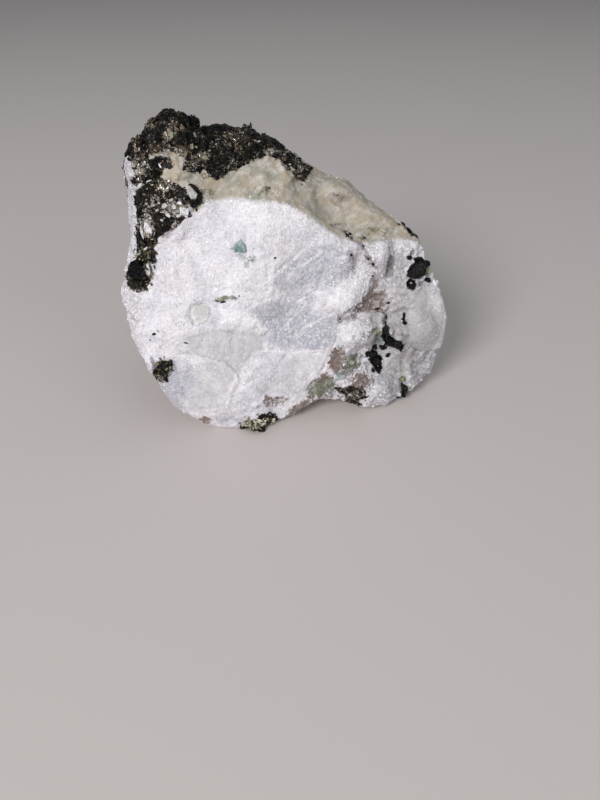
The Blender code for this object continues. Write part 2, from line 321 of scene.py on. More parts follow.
SPECKLED = (    # middle pixel, radii in pixels, turn, strength
    ((171, 135), (8, 12), 0, 0.85), ((168, 145), (12, 5), 0, 0.5), ((204, 155), (8, 8), 0, 0.7),
    ((194, 134), (5, 4), 0, 0.5), ((190, 160), (14, 12), 0, 0.45), ((167, 152), (22, 5), -6, 0.9),
    ((174, 208), (16, 11), -10, 1.0), ((147, 226), (9, 13), -20, 0.95), ((150, 204), (14, 12), 0, 0.35),
    ((166, 186), (14, 7), 0, 0.35), ((140, 168), (9, 10), 0, 0.35), ((178, 226), (8, 6), 0, 0.6),
    ((146, 252), (9, 6), 0, 0.3), ((148, 269), (4, 8), 0, 0.6), ((352, 402), (8, 8), 0, 0.6),
    ((246, 428), (6, 5), 0, 0.35), ((163, 379), (6, 6), 0, 0.5), ((356, 396), (14, 9), 0, 0.55),
    ((128, 180), (10, 14), 0, 0.6), ((232, 165), (12, 6), -30, 0.3),
    ((270, 152), (8, 4), 0, 0.4), ((298, 168), (12, 13), 40, 0.75), ((138, 168), (9, 14), 0, 0.6),
    ((345, 392), (18, 6), 0, 0.5),
)
BRONZE = (      # where more of the flakes are bronze or gold
    ((234, 140), (15, 12), 0, 1.0), ((148, 125), (14, 5), -8, 0.9), ((145, 149), (10, 6), 0, 0.7),
    ((246, 146), (8, 4), 0, 1.0), ((284, 156), (7, 6), 0, 1.0), ((271, 152), (8, 4), 0, 0.8),
    ((217, 140), (4, 6), 30, 0.9), ((200, 139), (8, 5), 0, 0.6), ((165, 117), (12, 5), 0, 0.5),
    ((160, 190), (14, 12), 0, 0.6), ((146, 256), (9, 7), 0, 0.8), ((223, 155), (5, 5), 0, 0.6),
    ((132, 135), (8, 8), 0, 0.5), ((150, 222), (10, 12), 0, 0.4),
)
MICA_BEHIND = (     # middle and radius in millimetres, on the sides that the photograph hides
    ((-26, -2, 61), 9), ((-10, 4, 58), 10), ((-31, -10, 52), 6), ((-27, 10, 54), 7),
    ((-6, 16, 51), 7), ((3, 20, 44), 4), ((-14, 22, 40), 5), ((22, 16, 28), 5),
    ((-33, 8, 30), 4), ((26, 10, 33), 4), ((12, 22, 20), 3),
)
print(len(CRUST), "outlines of mica in front and", len(MICA_BEHIND), "patches behind")

# %% [markdown]
# ## The crust put together
# On the front the deepest outline wins, and behind it the nearest patch. The two are mixed by how
# squarely each point faces the camera, so the crust runs on over the edge of the stone without a
# seam. Noise then frays its border.

# %% The crust put together
NO_MICA = -6.0
DEEPEST_MICA = 3.0
FRAY_IN_FRONT = 0.3
FRAY_BEHIND = 3.0


def zone_front(rows):
    """The strongest of several soft ovals at each point."""
    value = np.zeros(len(base))
    for centre, radii, turn, strength in rows:
        value = np.maximum(value, strength * blot(centre, radii, turn))
    return value


crust = np.full(len(base), NO_MICA)
for outline in CRUST.values():
    crust = np.maximum(crust, depth_inside(outline))
behind = np.full(len(base), NO_MICA)
for middle, radius in MICA_BEHIND:
    behind = np.maximum(behind, radius - np.linalg.norm(millimetres - np.array(middle), axis=1))
mica = seen * crust + (1 - seen) * (behind + FRAY_BEHIND * wander)
mica = np.clip(mica + FRAY_IN_FRONT * wander, -DEEPEST_MICA, DEEPEST_MICA)
speckled = seen * zone_front(SPECKLED) + (1 - seen) * np.clip(0.9 * wander, 0, 0.8)
bronze = seen * zone_front(BRONZE) + (1 - seen) * np.clip(0.2 - 1.2 * wander, 0, 0.9)
print(round(100 * float(np.mean(mica > 0))), "percent of the skin is mica")

# %% [markdown]
# ## Colour zones of the feldspar
# The white face isn't one white. Some patches are clear and bluish grey, others are glassy and
# slightly yellow, the top is a cream band, and the right end is stained by rust and chlorite. Two
# zones are partly painted light: the whitest one also holds painted highlights, and a brownish
# grey one is painted shade. Each zone has soft ovals and, where its edge is sharp, outlines. Both
# become one number at each point, which the material turns into colour later.

# %% Ovals of each zone
OVALS = {   # zone: rows of (middle pixel, radii in pixels, turn in degrees, strength)
    "grey": (
        ((318, 266), (26, 17), -35, 1.0), ((300, 284), (22, 10), -25, 0.7),
        ((337, 270), (18, 8), -32, 0.8),
        ((332, 283), (10, 7), -20, 0.9), ((288, 262), (16, 3), -38, 0.6), ((300, 296), (26, 7), 5, 0.6),
        ((268, 305), (16, 8), 10, 0.7), ((330, 248), (14, 7), 0, 0.5), ((352, 258), (14, 8), 0, 0.4),
        ((246, 288), (9, 6), 0, 0.4), ((205, 283), (16, 6), 15, 0.3), ((270, 372), (38, 22), -30, 0.45),
        ((240, 398), (16, 10), 0, 0.5), ((290, 390), (26, 12), -30, 0.4), ((400, 272), (9, 20), 5, 0.6),
        ((388, 270), (5, 14), 5, 1.0), ((422, 372), (13, 20), 28, 0.6), ((372, 395), (7, 9), 0, 0.5),
        ((160, 336), (12, 8), 0, 0.3), ((428, 276), (6, 8), 0, 0.7), ((316, 300), (16, 8), 0, 0.4),
        ((415, 330), (36, 66), 0, 0.55),
        ((385, 385), (30, 28), 0, 0.6), ((172, 385), (34, 34), -20, 0.75),
        ((396, 270), (24, 34), 0, 0.42),
        ((128, 190), (12, 60), 0, 0.6), ((365, 330), (26, 20), 0, 0.3), ((250, 420), (50, 14), 0, 0.4),
    ),
    "lilac": (
        ((276, 342), (9, 8), 0, 0.9), ((313, 343), (12, 9), 0, 1.0), ((320, 262), (9, 8), 0, 0.6),
        ((314, 276), (8, 7), 0, 0.6), ((176, 388), (12, 22), -25, 0.8), ((160, 340), (14, 10), 0, 0.5),
        ((228, 420), (22, 8), 5, 0.5), ((262, 410), (12, 7), 0, 0.7), ((400, 262), (10, 10), 0, 0.6),
        ((402, 296), (12, 9), 0, 0.6), ((424, 366), (10, 16), 28, 0.8), ((370, 398), (8, 8), 0, 0.5),
        ((346, 254), (6, 5), 0, 0.6), ((188, 376), (6, 14), 0, 0.3), ((350, 342), (7, 6), 0, 0.5),
        ((376, 318), (9, 6), 0, 0.4), ((374, 370), (5, 8), 0, 0.6),
    ),
    # whiter feldspar, with painted highlights on sparkle spots, along the upper rim and on the lump at the
    # right
    "bright": (
        ((240, 282), (56, 26), 0, 0.6), ((350, 290), (16, 20), -35, 0.9), ((381, 256), (7, 14), 0, 0.8),
        ((316, 293), (5, 4), 0, 1.0), ((338, 284), (12, 3), -38, 0.9), ((330, 300), (12, 3), 20, 0.8),
        ((262, 218), (56, 18), 8, 0.8), ((285, 206), (14, 4), 25, 1.0), ((200, 250), (44, 30), -15, 0.45),
        ((257, 362), (6, 7), 0, 0.9), ((235, 378), (3, 6), 0, 0.9), ((238, 396), (6, 4), 30, 0.8),
        ((350, 332), (12, 16), 20, 0.8), ((191, 295), (8, 7), -30, 0.6), ((340, 259), (3, 7), 0, 0.8),
        ((292, 274), (8, 4), -40, 0.7), ((292, 316), (8, 7), 0, 0.6), ((150, 355), (10, 8), 40, 0.6),
        ((355, 290), (10, 14), -35, 0.7), ((378, 252), (7, 10), 0, 0.8), ((280, 386), (3, 5), 0, 0.8),
        ((195, 362), (8, 5), 10, 0.6), ((412, 244), (12, 6), 20, 0.4), ((422, 334), (12, 4), -10, 0.4),
        ((345, 380), (10, 5), 0, 0.7), ((390, 370), (8, 8), 0, 0.4), ((165, 384), (3, 4), 0, 0.9),
    ),
    "rust": (
        ((337, 360), (10, 17), 12, 0.9), ((372, 300), (18, 14), -25, 0.7),
        ((360, 382), (16, 12), 0, 0.6), ((320, 396), (24, 10), -28, 0.5), ((382, 302), (3, 12), 0, 1.0),
        ((362, 308), (12, 5), -22, 0.8), ((377, 309), (6, 3), 0, 1.0), ((300, 408), (18, 6), -28, 0.8),
        ((276, 402), (14, 6), -10, 0.6), ((206, 420), (8, 5), 0, 0.7), ((362, 378), (9, 10), 0, 0.7),
        ((375, 284), (4, 9), 0, 0.7), ((354, 404), (9, 8), 0, 0.8), ((268, 402), (6, 9), 0, 0.7),
        ((324, 378), (5, 8), 30, 0.9), ((344, 372), (9, 6), 0, 0.5), ((340, 320), (3, 6), 0, 0.6),
        ((352, 316), (12, 4), -15, 0.3), ((404, 335), (8, 4), 0, 0.3), ((180, 324), (7, 3), 0, 0.3),
        ((426, 252), (3, 8), 0, 0.4), ((370, 386), (6, 5), 0, 0.5), ((368, 258), (3, 9), -32, 0.7),
        ((356, 241), (9, 2), 20, 0.9), ((204, 176), (4, 4), 0, 0.8), ((338, 197), (12, 6), 10, 0.25),
    ),
    "green": (
        ((322, 387), (18, 10), -32, 0.9), ((354, 363), (9, 10), 0, 0.9), ((386, 318), (4, 10), 0, 0.8),
        ((402, 380), (4, 4), 0, 0.9), ((376, 331), (7, 5), 30, 0.8), ((358, 357), (10, 3), -8, 0.7),
        ((428, 273), (5, 7), 0, 0.6), ((208, 192), (12, 4), 8, 0.55), ((267, 188), (4, 3), 0, 0.7),
        ((222, 299), (9, 3), -14, 1.0), ((233, 298), (6, 2), 10, 0.8), ((346, 367), (5, 6), 0, 0.7),
        ((366, 334), (8, 5), 0, 0.3), ((358, 368), (7, 7), 0, 0.35), ((390, 268), (4, 12), 0, 0.4),
        ((252, 258), (5, 8), 0, 0.35), ((405, 322), (3, 4), 0, 0.6), ((362, 237), (6, 3), 0, 0.6),
        ((262, 192), (16, 9), 0, 0.2), ((376, 230), (20, 6), 0, 0.25), ((336, 224), (6, 3), 0, 0.5),
    ),
    "teal": (
        ((246, 262), (5, 9), -10, 0.8), ((240, 256), (10, 5), 0, 0.7), ((252, 260), (6, 8), 0, 0.45),
        ((330, 392), (9, 6), 0, 0.6),
        ((340, 376), (6, 8), 30, 0.9), ((380, 342), (6, 5), 0, 0.9), ((314, 390), (6, 5), 0, 0.5),
        ((392, 354), (5, 4), 0, 0.4),
    ),
    # painted shade: a brownish grey laid in creases and crevices, on the right end and on the lower parts,
    # where less light falls
    "shade": (
        ((322, 207), (26, 9), 33, 1.0), ((340, 222), (12, 7), 50, 0.8), ((343, 198), (12, 5), 12, 0.9),
        ((312, 190), (8, 12), -20, 0.5), ((380, 226), (18, 6), 8, 0.5), ((390, 268), (5, 15), 5, 0.8),
        ((250, 186), (10, 12), 0, 0.2), ((396, 284), (8, 8), 0, 0.4), ((376, 286), (6, 9), 0, 0.6),
        ((205, 184), (12, 8), 0, 0.3), ((402, 362), (4, 24), 0, 0.4), ((410, 312), (4, 22), 8, 0.3),
        ((402, 335), (46, 90), 0, 0.75), ((376, 302), (18, 30), 0, 0.9), ((392, 322), (12, 22), 0, 0.8),
        ((128, 176), (12, 20), 0, 0.5), ((172, 392), (20, 26), -25, 0.35), ((345, 398), (40, 16), 0, 0.5),
    ),
}

print(sum(len(rows) for rows in OVALS.values()), "soft ovals")

# %% [markdown]
# ## Zones with a sharp edge
# Blades of feldspar, black crystals and the green crystal end at a line. They are drawn as outlines,
# each with its own width of edge, from a few tenths of a millimetre at a crystal to over three
# where clear rock clouds into white.

# %% Sharp outlines of the zones
ROUND_GRAIN = ((190, 304), (203, 303), (210, 308), (211, 315), (204, 321), (193, 326), (188, 316))
KNOB = ((374, 241), (388, 241), (389, 256), (385, 272), (379, 279), (374, 270), (372, 254))
OUTLINES = {    # zone: rows of (outline in pixels, width of its edge in millimetres, strength)
    "grey": (
        (((246, 311), (262, 301), (276, 298), (290, 300), (300, 304), (318, 312), (334, 310), (337, 322),
          (334, 338), (327, 350), (306, 352), (288, 350), (270, 349), (262, 338), (268, 329), (258, 318)),
         3.2, 0.8),
        (((410, 352), (438, 348), (435, 372), (420, 390), (409, 386)), 1.5, 0.8),
        (((268, 283), (290, 262), (312, 245), (330, 243), (348, 252), (356, 266), (350, 276), (336, 286),
          (316, 292), (292, 291), (276, 290)), 1.4, 0.62),
    ),
    "glass": (
        (((190, 337), (212, 329), (240, 329), (264, 334), (266, 350), (254, 354), (246, 366), (240, 378),
          (234, 372), (223, 362), (206, 357), (186, 352)), 1.6, 0.8),
        (((186, 372), (196, 362), (212, 360), (226, 365), (236, 376), (230, 392), (228, 408), (206, 413),
          (190, 409), (180, 398)), 1.8, 0.8),
        (((242, 380), (262, 372), (300, 350), (326, 354), (318, 372), (300, 388), (270, 396), (244, 400)),
         2.5, 0.55),
        (((411, 288), (426, 284), (437, 292), (446, 315), (446, 336), (441, 352), (424, 352), (411, 345),
          (408, 328), (411, 305)), 1.6, 0.8),
        (((395, 358), (408, 350), (410, 370), (402, 380), (392, 372)), 1.6, 0.6),
        (ROUND_GRAIN, 0.8, 0.7),
    ),
    "yellow": (
        (ROUND_GRAIN, 0.8, 1.0),
        (((242, 322), (256, 320), (268, 331), (264, 338), (246, 336)), 1.5, 0.5),
        (((411, 288), (426, 284), (440, 296), (446, 330), (441, 350), (424, 352), (411, 345), (408, 320)),
         2.5, 0.55),
    ),
    "black": (
        (((406, 277), (407, 271), (411, 265), (416, 261), (422, 260), (427, 262), (430, 266), (427, 271),
          (422, 276), (416, 278)), 0.3, 1.0),
        (((405, 256), (412, 255), (413, 259), (408, 260)), 0.3, 1.0),
        (((413, 258), (422, 256), (424, 261), (417, 262)), 0.3, 1.0),
        (((424, 278), (432, 278), (431, 282), (426, 283)), 0.3, 1.0),
        (((407, 281), (410, 278), (415, 281), (416, 286), (412, 291), (407, 288)), 0.3, 1.0),
        (((383, 326), (388, 325), (389, 335), (395, 339), (401, 341), (404, 346), (401, 351), (394, 348),
          (386, 344), (381, 338)), 0.3, 1.0),
        (((365, 352), (372, 350), (378, 352), (381, 358), (382, 368), (378, 376), (374, 369), (370, 362),
          (366, 356)), 0.3, 1.0),
        (((379, 345), (386, 344), (387, 349), (381, 351)), 0.3, 1.0),
        (((374, 346), (378, 346), (377, 350), (373, 350)), 0.3, 1.0),
        (((385, 356), (389, 352), (391, 354), (388, 358)), 0.3, 1.0),
        (((403, 312), (406, 313), (405, 320), (407, 325), (404, 325), (402, 320)), 0.3, 1.0),
        (((128, 276), (130, 265), (136, 259), (142, 261), (145, 268), (143, 278), (137, 284), (131, 283)),
         0.3, 1.0),
        (((188, 184), (194, 184), (201, 191), (203, 200), (197, 206), (192, 208), (190, 202), (198, 198),
          (197, 192)), 0.3, 1.0),
        (((156, 366), (161, 361), (167, 359), (173, 361), (171, 367), (162, 370)), 0.3, 1.0),
        (((152, 370), (158, 369), (163, 373), (161, 378), (154, 377)), 0.3, 1.0),
        (((161, 377), (167, 377), (168, 383), (163, 382)), 0.3, 1.0),
        (((345, 229), (350, 231), (354, 236), (350, 237)), 0.3, 1.0),
        (((401, 222), (404, 222), (415, 234), (413, 235)), 0.3, 1.0),
    ),
    "teal": (
        (((230, 250), (235, 243), (241, 239), (245, 243), (248, 251), (243, 254), (236, 251)), 0.5, 1.0),
        (((231, 251), (247, 252), (250, 262), (246, 270), (242, 262), (232, 257)), 1.6, 0.55),
    ),
    # whiter feldspar in the wedge; on the lump and the knob a painted highlight
    "bright": (
        (((218, 308), (240, 309), (258, 318), (268, 329), (258, 332), (240, 324), (224, 322)), 1.0, 0.8),
        (((338, 290), (352, 272), (362, 268), (369, 276), (368, 292), (356, 304), (342, 314), (334, 308)),
         0.8, 0.55),
        (KNOB, 0.7, 0.5),
    ),
}
print(sum(len(rows) for rows in OUTLINES.values()), "sharp outlines")

# %% [markdown]
# ## Thin lines, the cream band's outline and the back
# Thin white lines mark where blades of feldspar meet and where old cracks healed. The weathered top
# is one long outline. The back isn't in the photograph, so a few round patches of the same colours
# are spread there, to make it the same rock and not a copy of the front.

# %% Lines, the cream outline and the back
BRIGHT_LINES = (    # thin white edges of blades and healed cracks
    ((264, 284), (288, 263), (312, 244)), ((298, 301), (318, 291), (342, 278)), ((286, 276), (322, 252)),
    ((246, 311), (262, 301), (276, 298)), ((270, 350), (290, 353), (318, 350)), ((222, 322), (243, 318)),
    ((186, 352), (207, 357), (228, 361), (240, 376)), ((252, 356), (262, 340)), ((236, 392), (256, 380)),
    ((300, 330), (322, 318), (336, 312)), ((206, 240), (226, 230), (250, 224)), ((168, 300), (184, 318)),
    ((286, 206), (306, 216), (324, 232)), ((426, 352), (444, 348)),
)
LINE_WIDTH = 0.45    # millimetres
CREAM_EDGE = 2.4     # millimetres
CREAM_BAND = (
    (138, 130), (200, 120), (300, 120), (380, 150), (460, 210), (455, 246), (420, 243), (400, 240),
    (380, 241), (365, 243), (352, 241), (338, 236), (322, 226), (304, 214), (288, 204), (262, 200),
    (235, 199), (208, 201), (198, 212), (180, 204), (160, 190), (144, 172),
)
BEHIND_ZONES = {    # zone: (middle in millimetres, radius)
    "grey": (((-20, 20, 24), 11), ((8, 24, 34), 9), ((34, 2, 18), 10), ((-36, -6, 22), 8)),
    "rust": (((14, 20, 40), 7), ((24, 12, 12), 8), ((-24, 14, 48), 9), ((-8, 18, 8), 8)),
    "green": (((20, 18, 32), 5), ((-16, 20, 44), 5)),
    "glass": (((-4, 24, 20), 10), ((30, 8, 30), 8), ((-34, 2, 40), 9)),
    "lilac": (((-14, 22, 30), 8), ((24, 16, 20), 8)),
    "bright": (((2, 24, 26), 8), ((-28, 14, 34), 8)),
    "black": (((7.6, 23, 33), 2.6), ((-18.4, 18, 45), 2.3), ((-37, -1, 33), 2.6), ((16, 20, 24), 1.4)),
}
print(len(BRIGHT_LINES), "bright lines")

# %% [markdown]
# ## The zones put together
# Each zone takes the strongest of its ovals and outlines on the front, and its patches behind. The
# bright lines are laid over them, and they also push the grey back.

# %% The zones put together
def soft_ball(middle, radius):
    """A soft round patch in space: 1 in its middle and 0 from its rim outwards."""
    away = np.linalg.norm(millimetres - np.array(middle), axis=1) / radius
    return np.clip(1.0 - away ** 2, 0, 1)


LINE_STRENGTH = 0.9
GREY_UNDER_LINES = 0.8

zones = {}
for zone in ("grey", "lilac", "bright", "rust", "green", "teal", "shade", "glass", "yellow", "black"):
    front = zone_front(OVALS.get(zone, ()))
    for outline, width, strength in OUTLINES.get(zone, ()):
        front = np.maximum(front, strength * np.clip(0.5 + depth_inside(outline) / width, 0, 1))
    back = np.zeros(len(base))
    for middle, radius in BEHIND_ZONES.get(zone, ()):
        back = np.maximum(back, soft_ball(middle, radius))
    zones[zone] = seen * front + (1 - seen) * back
    print(zone, round(float(zones[zone].mean()), 3))

lines = np.zeros(len(base))
for line in BRIGHT_LINES:
    lines = np.maximum(lines, np.clip(1 - (line_distance(line) + 0.3 * wander) / LINE_WIDTH, 0, 1))
zones["bright"] = np.maximum(zones["bright"], LINE_STRENGTH * lines * seen)
zones["grey"] = zones["grey"] * (1 - GREY_UNDER_LINES * lines)

# %% [markdown]
# ## The cream band
# The top of the stone is cream and smoother, as if weathered. On the front it ends along the outline
# that was drawn. Behind, where nothing is known, it covers what faces upwards, with a wandering edge.

# %% The cream band
top_facing = np.clip((broad[:, 2] - 0.35) / 0.4, 0, 1)
cream_front = np.clip(0.5 + (depth_inside(CREAM_BAND) + 0.5 * wander) / CREAM_EDGE, 0, 1)
cream_behind = np.clip(top_facing + 1.3 * wander - 0.1, 0, 1)
zones["cream"] = seen * cream_front + (1 - seen) * cream_behind
print("cream", round(float(zones["cream"].mean()), 3))

# %% [markdown]
# ## Relief
# Feldspar breaks in small flat steps, so the white parts get flat facets of a few sizes, each one
# leaning at random. The mica breaks in ledges. The cream band is weathered and smoother. All of it
# is real displacement of the skin, because light has to catch on it and the outline has to show it.

# %% Flat facets
FACET_SHARPNESS = 22.0


def facets(size, seed):
    """The height of flat random facets of this size, in units of the size."""
    shift = Vector((seed * 31.7, seed * 11.9, seed * 3.3))
    heights = np.empty(len(base))
    for index, place in enumerate(millimetres):
        where = Vector(place) / size + shift
        distances, seeds = noise.voronoi(where)
        total = weights = 0.0
        for distance, seed_point in zip(distances, seeds):
            weight = math.exp(-FACET_SHARPNESS * (distance - distances[0]))
            lean = noise.cell_vector(seed_point * 9.7) - Vector((0.5, 0.5, 0.5))
            total += weight * ((where - seed_point).dot(lean) + 0.15 * lean.z)
            weights += weight
        heights[index] = total / weights
    return heights * size


large_facets = facets(5.0, 1)
small_facets = facets(1.9, 2)
print("facets up to", round(float(np.abs(large_facets).max()), 2), "mm")

# %% [markdown]
# ## Ledges of mica
# A book of mica breaks off in flat steps. The ledges are layers cut through the stone on a slant,
# bent by broad noise. Each layer rises at once and falls back slowly, like a stair on a slope.

# %% Ledges of mica
LEDGE_RISE = 0.85    # millimetres
ACROSS_LEDGES = np.array([0.30, -0.42, 0.86])
LEDGE_BEND = 1.6
LEDGE_STEEPNESS = 3.0
ledge_wave = rough_noise(6.0, 4)
ledge_fine = rough_noise(1.6, 5)
layers = millimetres @ ACROSS_LEDGES + LEDGE_BEND * ledge_wave
steps = layers / LEDGE_RISE
ledges = (np.floor(steps) + np.clip((steps - np.floor(steps)) * LEDGE_STEEPNESS, 0, 1) - steps) * LEDGE_RISE
print("ledges", round(float(ledges.min()), 2), "to", round(float(ledges.max()), 2), "mm")

# %% [markdown]
# ## Lumps, hollows, steps and cracks
# These are the forms that the photograph shows one by one: knobs and dents as soft ovals, flat
# patches that stand up or lie low as outlines, and cracks as lines. They are heights on the skin,
# because they are too fine for the solid but still catch the light and cast shadows.

# %% Lumps, hollows and steps
LUMPS = (       # middle pixel, radii in pixels, turn, height in millimetres
    ((380, 258), (9, 19), 4, 0.9), ((390, 270), (5, 15), 5, -0.8),
    ((374, 303), (16, 9), -25, -0.9), ((356, 334), (16, 16), 0, 0.9), ((338, 190), (17, 8), 20, 1.0),
    ((344, 203), (18, 5), 25, -0.7), ((322, 209), (24, 9), 33, -0.7), ((386, 384), (13, 22), 0, 0.8),
    ((350, 233), (4, 5), 30, -1.2), ((318, 386), (14, 7), -35, -0.7), ((200, 178), (30, 8), -5, 0.4),
    ((250, 180), (30, 14), 5, 0.5), ((175, 385), (10, 20), -35, -0.4), ((347, 393), (16, 6), 0, -1.1),
    ((210, 384), (26, 26), -12, 0.35), ((258, 424), (16, 8), 0, 0.6), ((426, 318), (16, 34), 8, 0.6),
    ((405, 388), (5, 10), 0, -0.9), ((224, 300), (12, 4), -8, -0.35), ((240, 246), (9, 7), 0, 0.2),
    ((378, 340), (5, 7), 0, -0.7), ((338, 358), (8, 13), 10, -0.6), ((390, 318), (6, 12), 0, -0.8),
    ((404, 362), (4, 22), 0, -0.6), ((398, 262), (5, 20), 4, 0.5), ((410, 245), (14, 7), 20, 0.5),
    ((354, 366), (9, 8), 0, -0.5), ((362, 392), (6, 6), 0, -0.5), ((380, 356), (5, 8), 0, -0.5),
    ((418, 368), (5, 20), 28, -0.5), ((430, 360), (5, 20), 28, 0.4), ((376, 286), (5, 9), 0, -0.8),
    ((194, 116), (14, 9), 0, 0.7), ((362, 290), (13, 20), 0, 0.7), ((247, 124), (9, 7), 0, -1.6),
    ((290, 146), (13, 8), 30, -1.4),
)
STEPS = {       # outline in pixels, height and width of its edge in millimetres
    "wedge": (((210, 306), (240, 309), (258, 318), (268, 329), (262, 336), (222, 330)), 0.35, 0.5),
    "lump": (((338, 290), (352, 272), (362, 268), (369, 276), (368, 292), (356, 304), (341, 315)), 0.4, 0.6),
    "knob": (KNOB, 0.7, 0.6),
    "disc": (((190, 304), (203, 303), (210, 308), (211, 315), (204, 321), (193, 326), (186, 316)),
             -0.35, 0.4),
    "glass": (((183, 354), (206, 358), (224, 362), (237, 371), (241, 380), (232, 392), (228, 408),
               (206, 413), (190, 409), (178, 398)), 0.35, 0.5),
    "lobe": (((411, 288), (426, 284), (446, 292), (452, 345), (424, 351), (411, 345), (408, 320)), 0.5, 0.6),
    "flute": (((426, 352), (446, 345), (440, 376), (420, 392), (418, 380), (423, 362)), -0.5, 0.5),
    "band": (((160, 140), (450, 180), (440, 243), (400, 237), (365, 240), (350, 238), (322, 222),
              (300, 208), (265, 198), (206, 199), (190, 176)), -0.35, 1.6),
}
CRACKS = {      # line in pixels, half width and depth in millimetres
    "long_curve": (((183, 353), (195, 354), (206, 357), (226, 362), (236, 371), (240, 379)), 0.4, 0.4),
    "ring": (((195, 302), (205, 303), (210, 307), (211, 315), (207, 321), (197, 326)), 0.35, 0.5),
    "bend": (((234, 378), (240, 392), (250, 402), (254, 410)), 0.35, 0.2),
    "seam": (((338, 314), (339, 330), (334, 344), (328, 358), (320, 374), (308, 390)), 0.5, 0.4),
    "lobe_split": (((410, 345), (418, 350), (428, 350), (436, 350)), 0.35, 0.35),
    "crevice": (((334, 224), (345, 230), (352, 237), (362, 244), (367, 252), (374, 266)), 0.45, 0.9),
    "under_lump": (((372, 270), (370, 282), (369, 292), (358, 303), (344, 313)), 0.4, 0.4),
    "band_line": (((365, 237), (380, 236), (398, 232), (414, 238)), 0.4, 0.3),
    "fold": (((392, 246), (398, 262), (396, 284)), 0.4, 0.4),
    "blade": (((276, 272), (286, 263), (300, 252)), 0.35, 0.25),
}
STEP_FRAY = 0.15
CRACK_FRAY = 0.12

lumps = np.zeros(len(base))
for centre, radii, turn, height in LUMPS:
    lumps += height * blot(centre, radii, turn)
for outline, height, width in STEPS.values():
    lumps += height * np.clip(0.5 + (depth_inside(outline) + STEP_FRAY * wander) / width, 0, 1)
cracks = np.zeros(len(base))
for line, half_width, depth in CRACKS.values():
    near = np.clip(1.0 - (line_distance(line) + CRACK_FRAY * wander) / half_width, 0, 1)
    cracks = np.maximum(cracks, depth * near)
print("cracks cover", round(100 * float(np.mean(cracks > 0.05)), 1), "percent")

# %% [markdown]
# ## The relief put together
# The right end is freshly broken and rugged, the glassy patches are calm, and the cream top is worn
# smooth. So each place takes its own share of facets, ledges, folds and grain. The foot stays flat,
# and everything is kept inside the solid's box.

# %% The relief put together
RUGGED_FROM = 335.0     # pixels across
RUGGED_OVER = 15.0
RUGGED_BEHIND = 0.7
FOOT_HEIGHT = 0.25      # millimetres
INSET = 0.02 * MM
HOLLOW_ROUNDS = 10
DEEP_HOLLOW = 0.35      # millimetres

flat_patches = np.zeros(len(base))
for name in ("lump", "knob", "lobe"):
    flat_patches = np.maximum(flat_patches, np.clip(depth_inside(STEPS[name][0]) / 0.8, 0, 0.85))
rugged = seen * np.clip((spots[:, 0] - RUGGED_FROM) / RUGGED_OVER, 0, 1) * (1 - flat_patches)
rugged = np.maximum(rugged, RUGGED_BEHIND * (1 - seen)) * (1 - zones["cream"])
calm = 1.0 - 0.8 * np.clip(zones["glass"] + 0.6 * zones["grey"], 0, 1)
smooth_top = 1.0 - 0.85 * zones["cream"]
on_mica = np.clip(mica / 0.6 + 0.5, 0, 1)
grain = rough_noise(0.9, 7, 2)
folds = rough_noise(5.5, 8, 2)
white_relief = (
    large_facets * calm * smooth_top * (0.10 + 0.5 * rugged)
    + small_facets * calm * smooth_top * (0.22 + 0.45 * rugged)
    + 0.07 * grain * smooth_top * calm
    + (0.40 * folds + 0.22 * small_facets + 0.12 * large_facets + 0.05 * grain) * zones["cream"]
)
mica_relief = 0.6 * ledges + 0.25 * ledge_fine + 0.2 * grain - 0.05
relief = on_mica * mica_relief + (1 - on_mica) * white_relief + seen * (lumps - cracks)
above_foot = np.clip((millimetres[:, 2] - 0.2) / 1.5, 0, 1)
relief = relief * above_foot
places = base + normals * (relief * MM)[:, None]
places = np.clip(places, np.array(cad_low) + INSET, np.array(cad_high) - INSET)
places[millimetres[:, 2] < FOOT_HEIGHT, 2] = 0.0
# How far each point lies below its neighbours; the material darkens it there as painted shade.
hollow = np.clip((spread(relief, HOLLOW_ROUNDS) - relief) / DEEP_HOLLOW, 0, 1)
write_places(skin_mesh, places)
skin_mesh.polygons.foreach_set("use_smooth", [True] * len(skin_mesh.polygons))
print("relief from", round(float(relief.min()), 2), "to", round(float(relief.max()), 2), "mm")

# %% [markdown]
# ## The zones go with the skin
# A material can read a number that is stored on each point, by its name. That keeps colour, relief and
# the place of every flake in step, because all of them use the same zones. The finished skin then
# takes the solid's place in the picture.

# %% The zones stored on the skin
LEFT_RIM = 142.0        # pixels across
LEFT_RIM_WIDTH = 6.0


def store(mesh, name, values):
    """Keeps one number for each point, which a material can read by name."""
    layer = mesh.attributes.new(name, "FLOAT", "POINT")
    layer.data.foreach_set("value", np.asarray(values, np.float32))


zones["mica"] = mica
zones["speckled"] = speckled
zones["hollow"] = spread(hollow, 1)
zones["crack"] = cracks * seen
left_rim = np.clip((LEFT_RIM - spots[:, 0]) / LEFT_RIM_WIDTH, 0, 0.8) * seen
zones["broken"] = np.clip(rugged + left_rim + 0.25 * seen * (1 - zones["cream"]), 0, 1)
for zone, values in zones.items():
    store(skin_mesh, zone, values)
stone = linked("stone", skin_mesh)
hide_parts("moonstone")
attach(stone, "root")
skin = BVHTree.FromObject(stone, bpy.context.evaluated_depsgraph_get())
triangles = sum(len(face.vertices) - 2 for face in skin_mesh.polygons)
print("the stone has", triangles, "triangles")

# %% [markdown]
# ## Writing materials as sums
# A procedural material is mostly arithmetic. The small class below wraps a socket, so that a mask can
# be written as `1 - mask * 0.5` and the Math nodes appear by themselves. Colours go through Mix nodes,
# because a Math node would turn them grey.

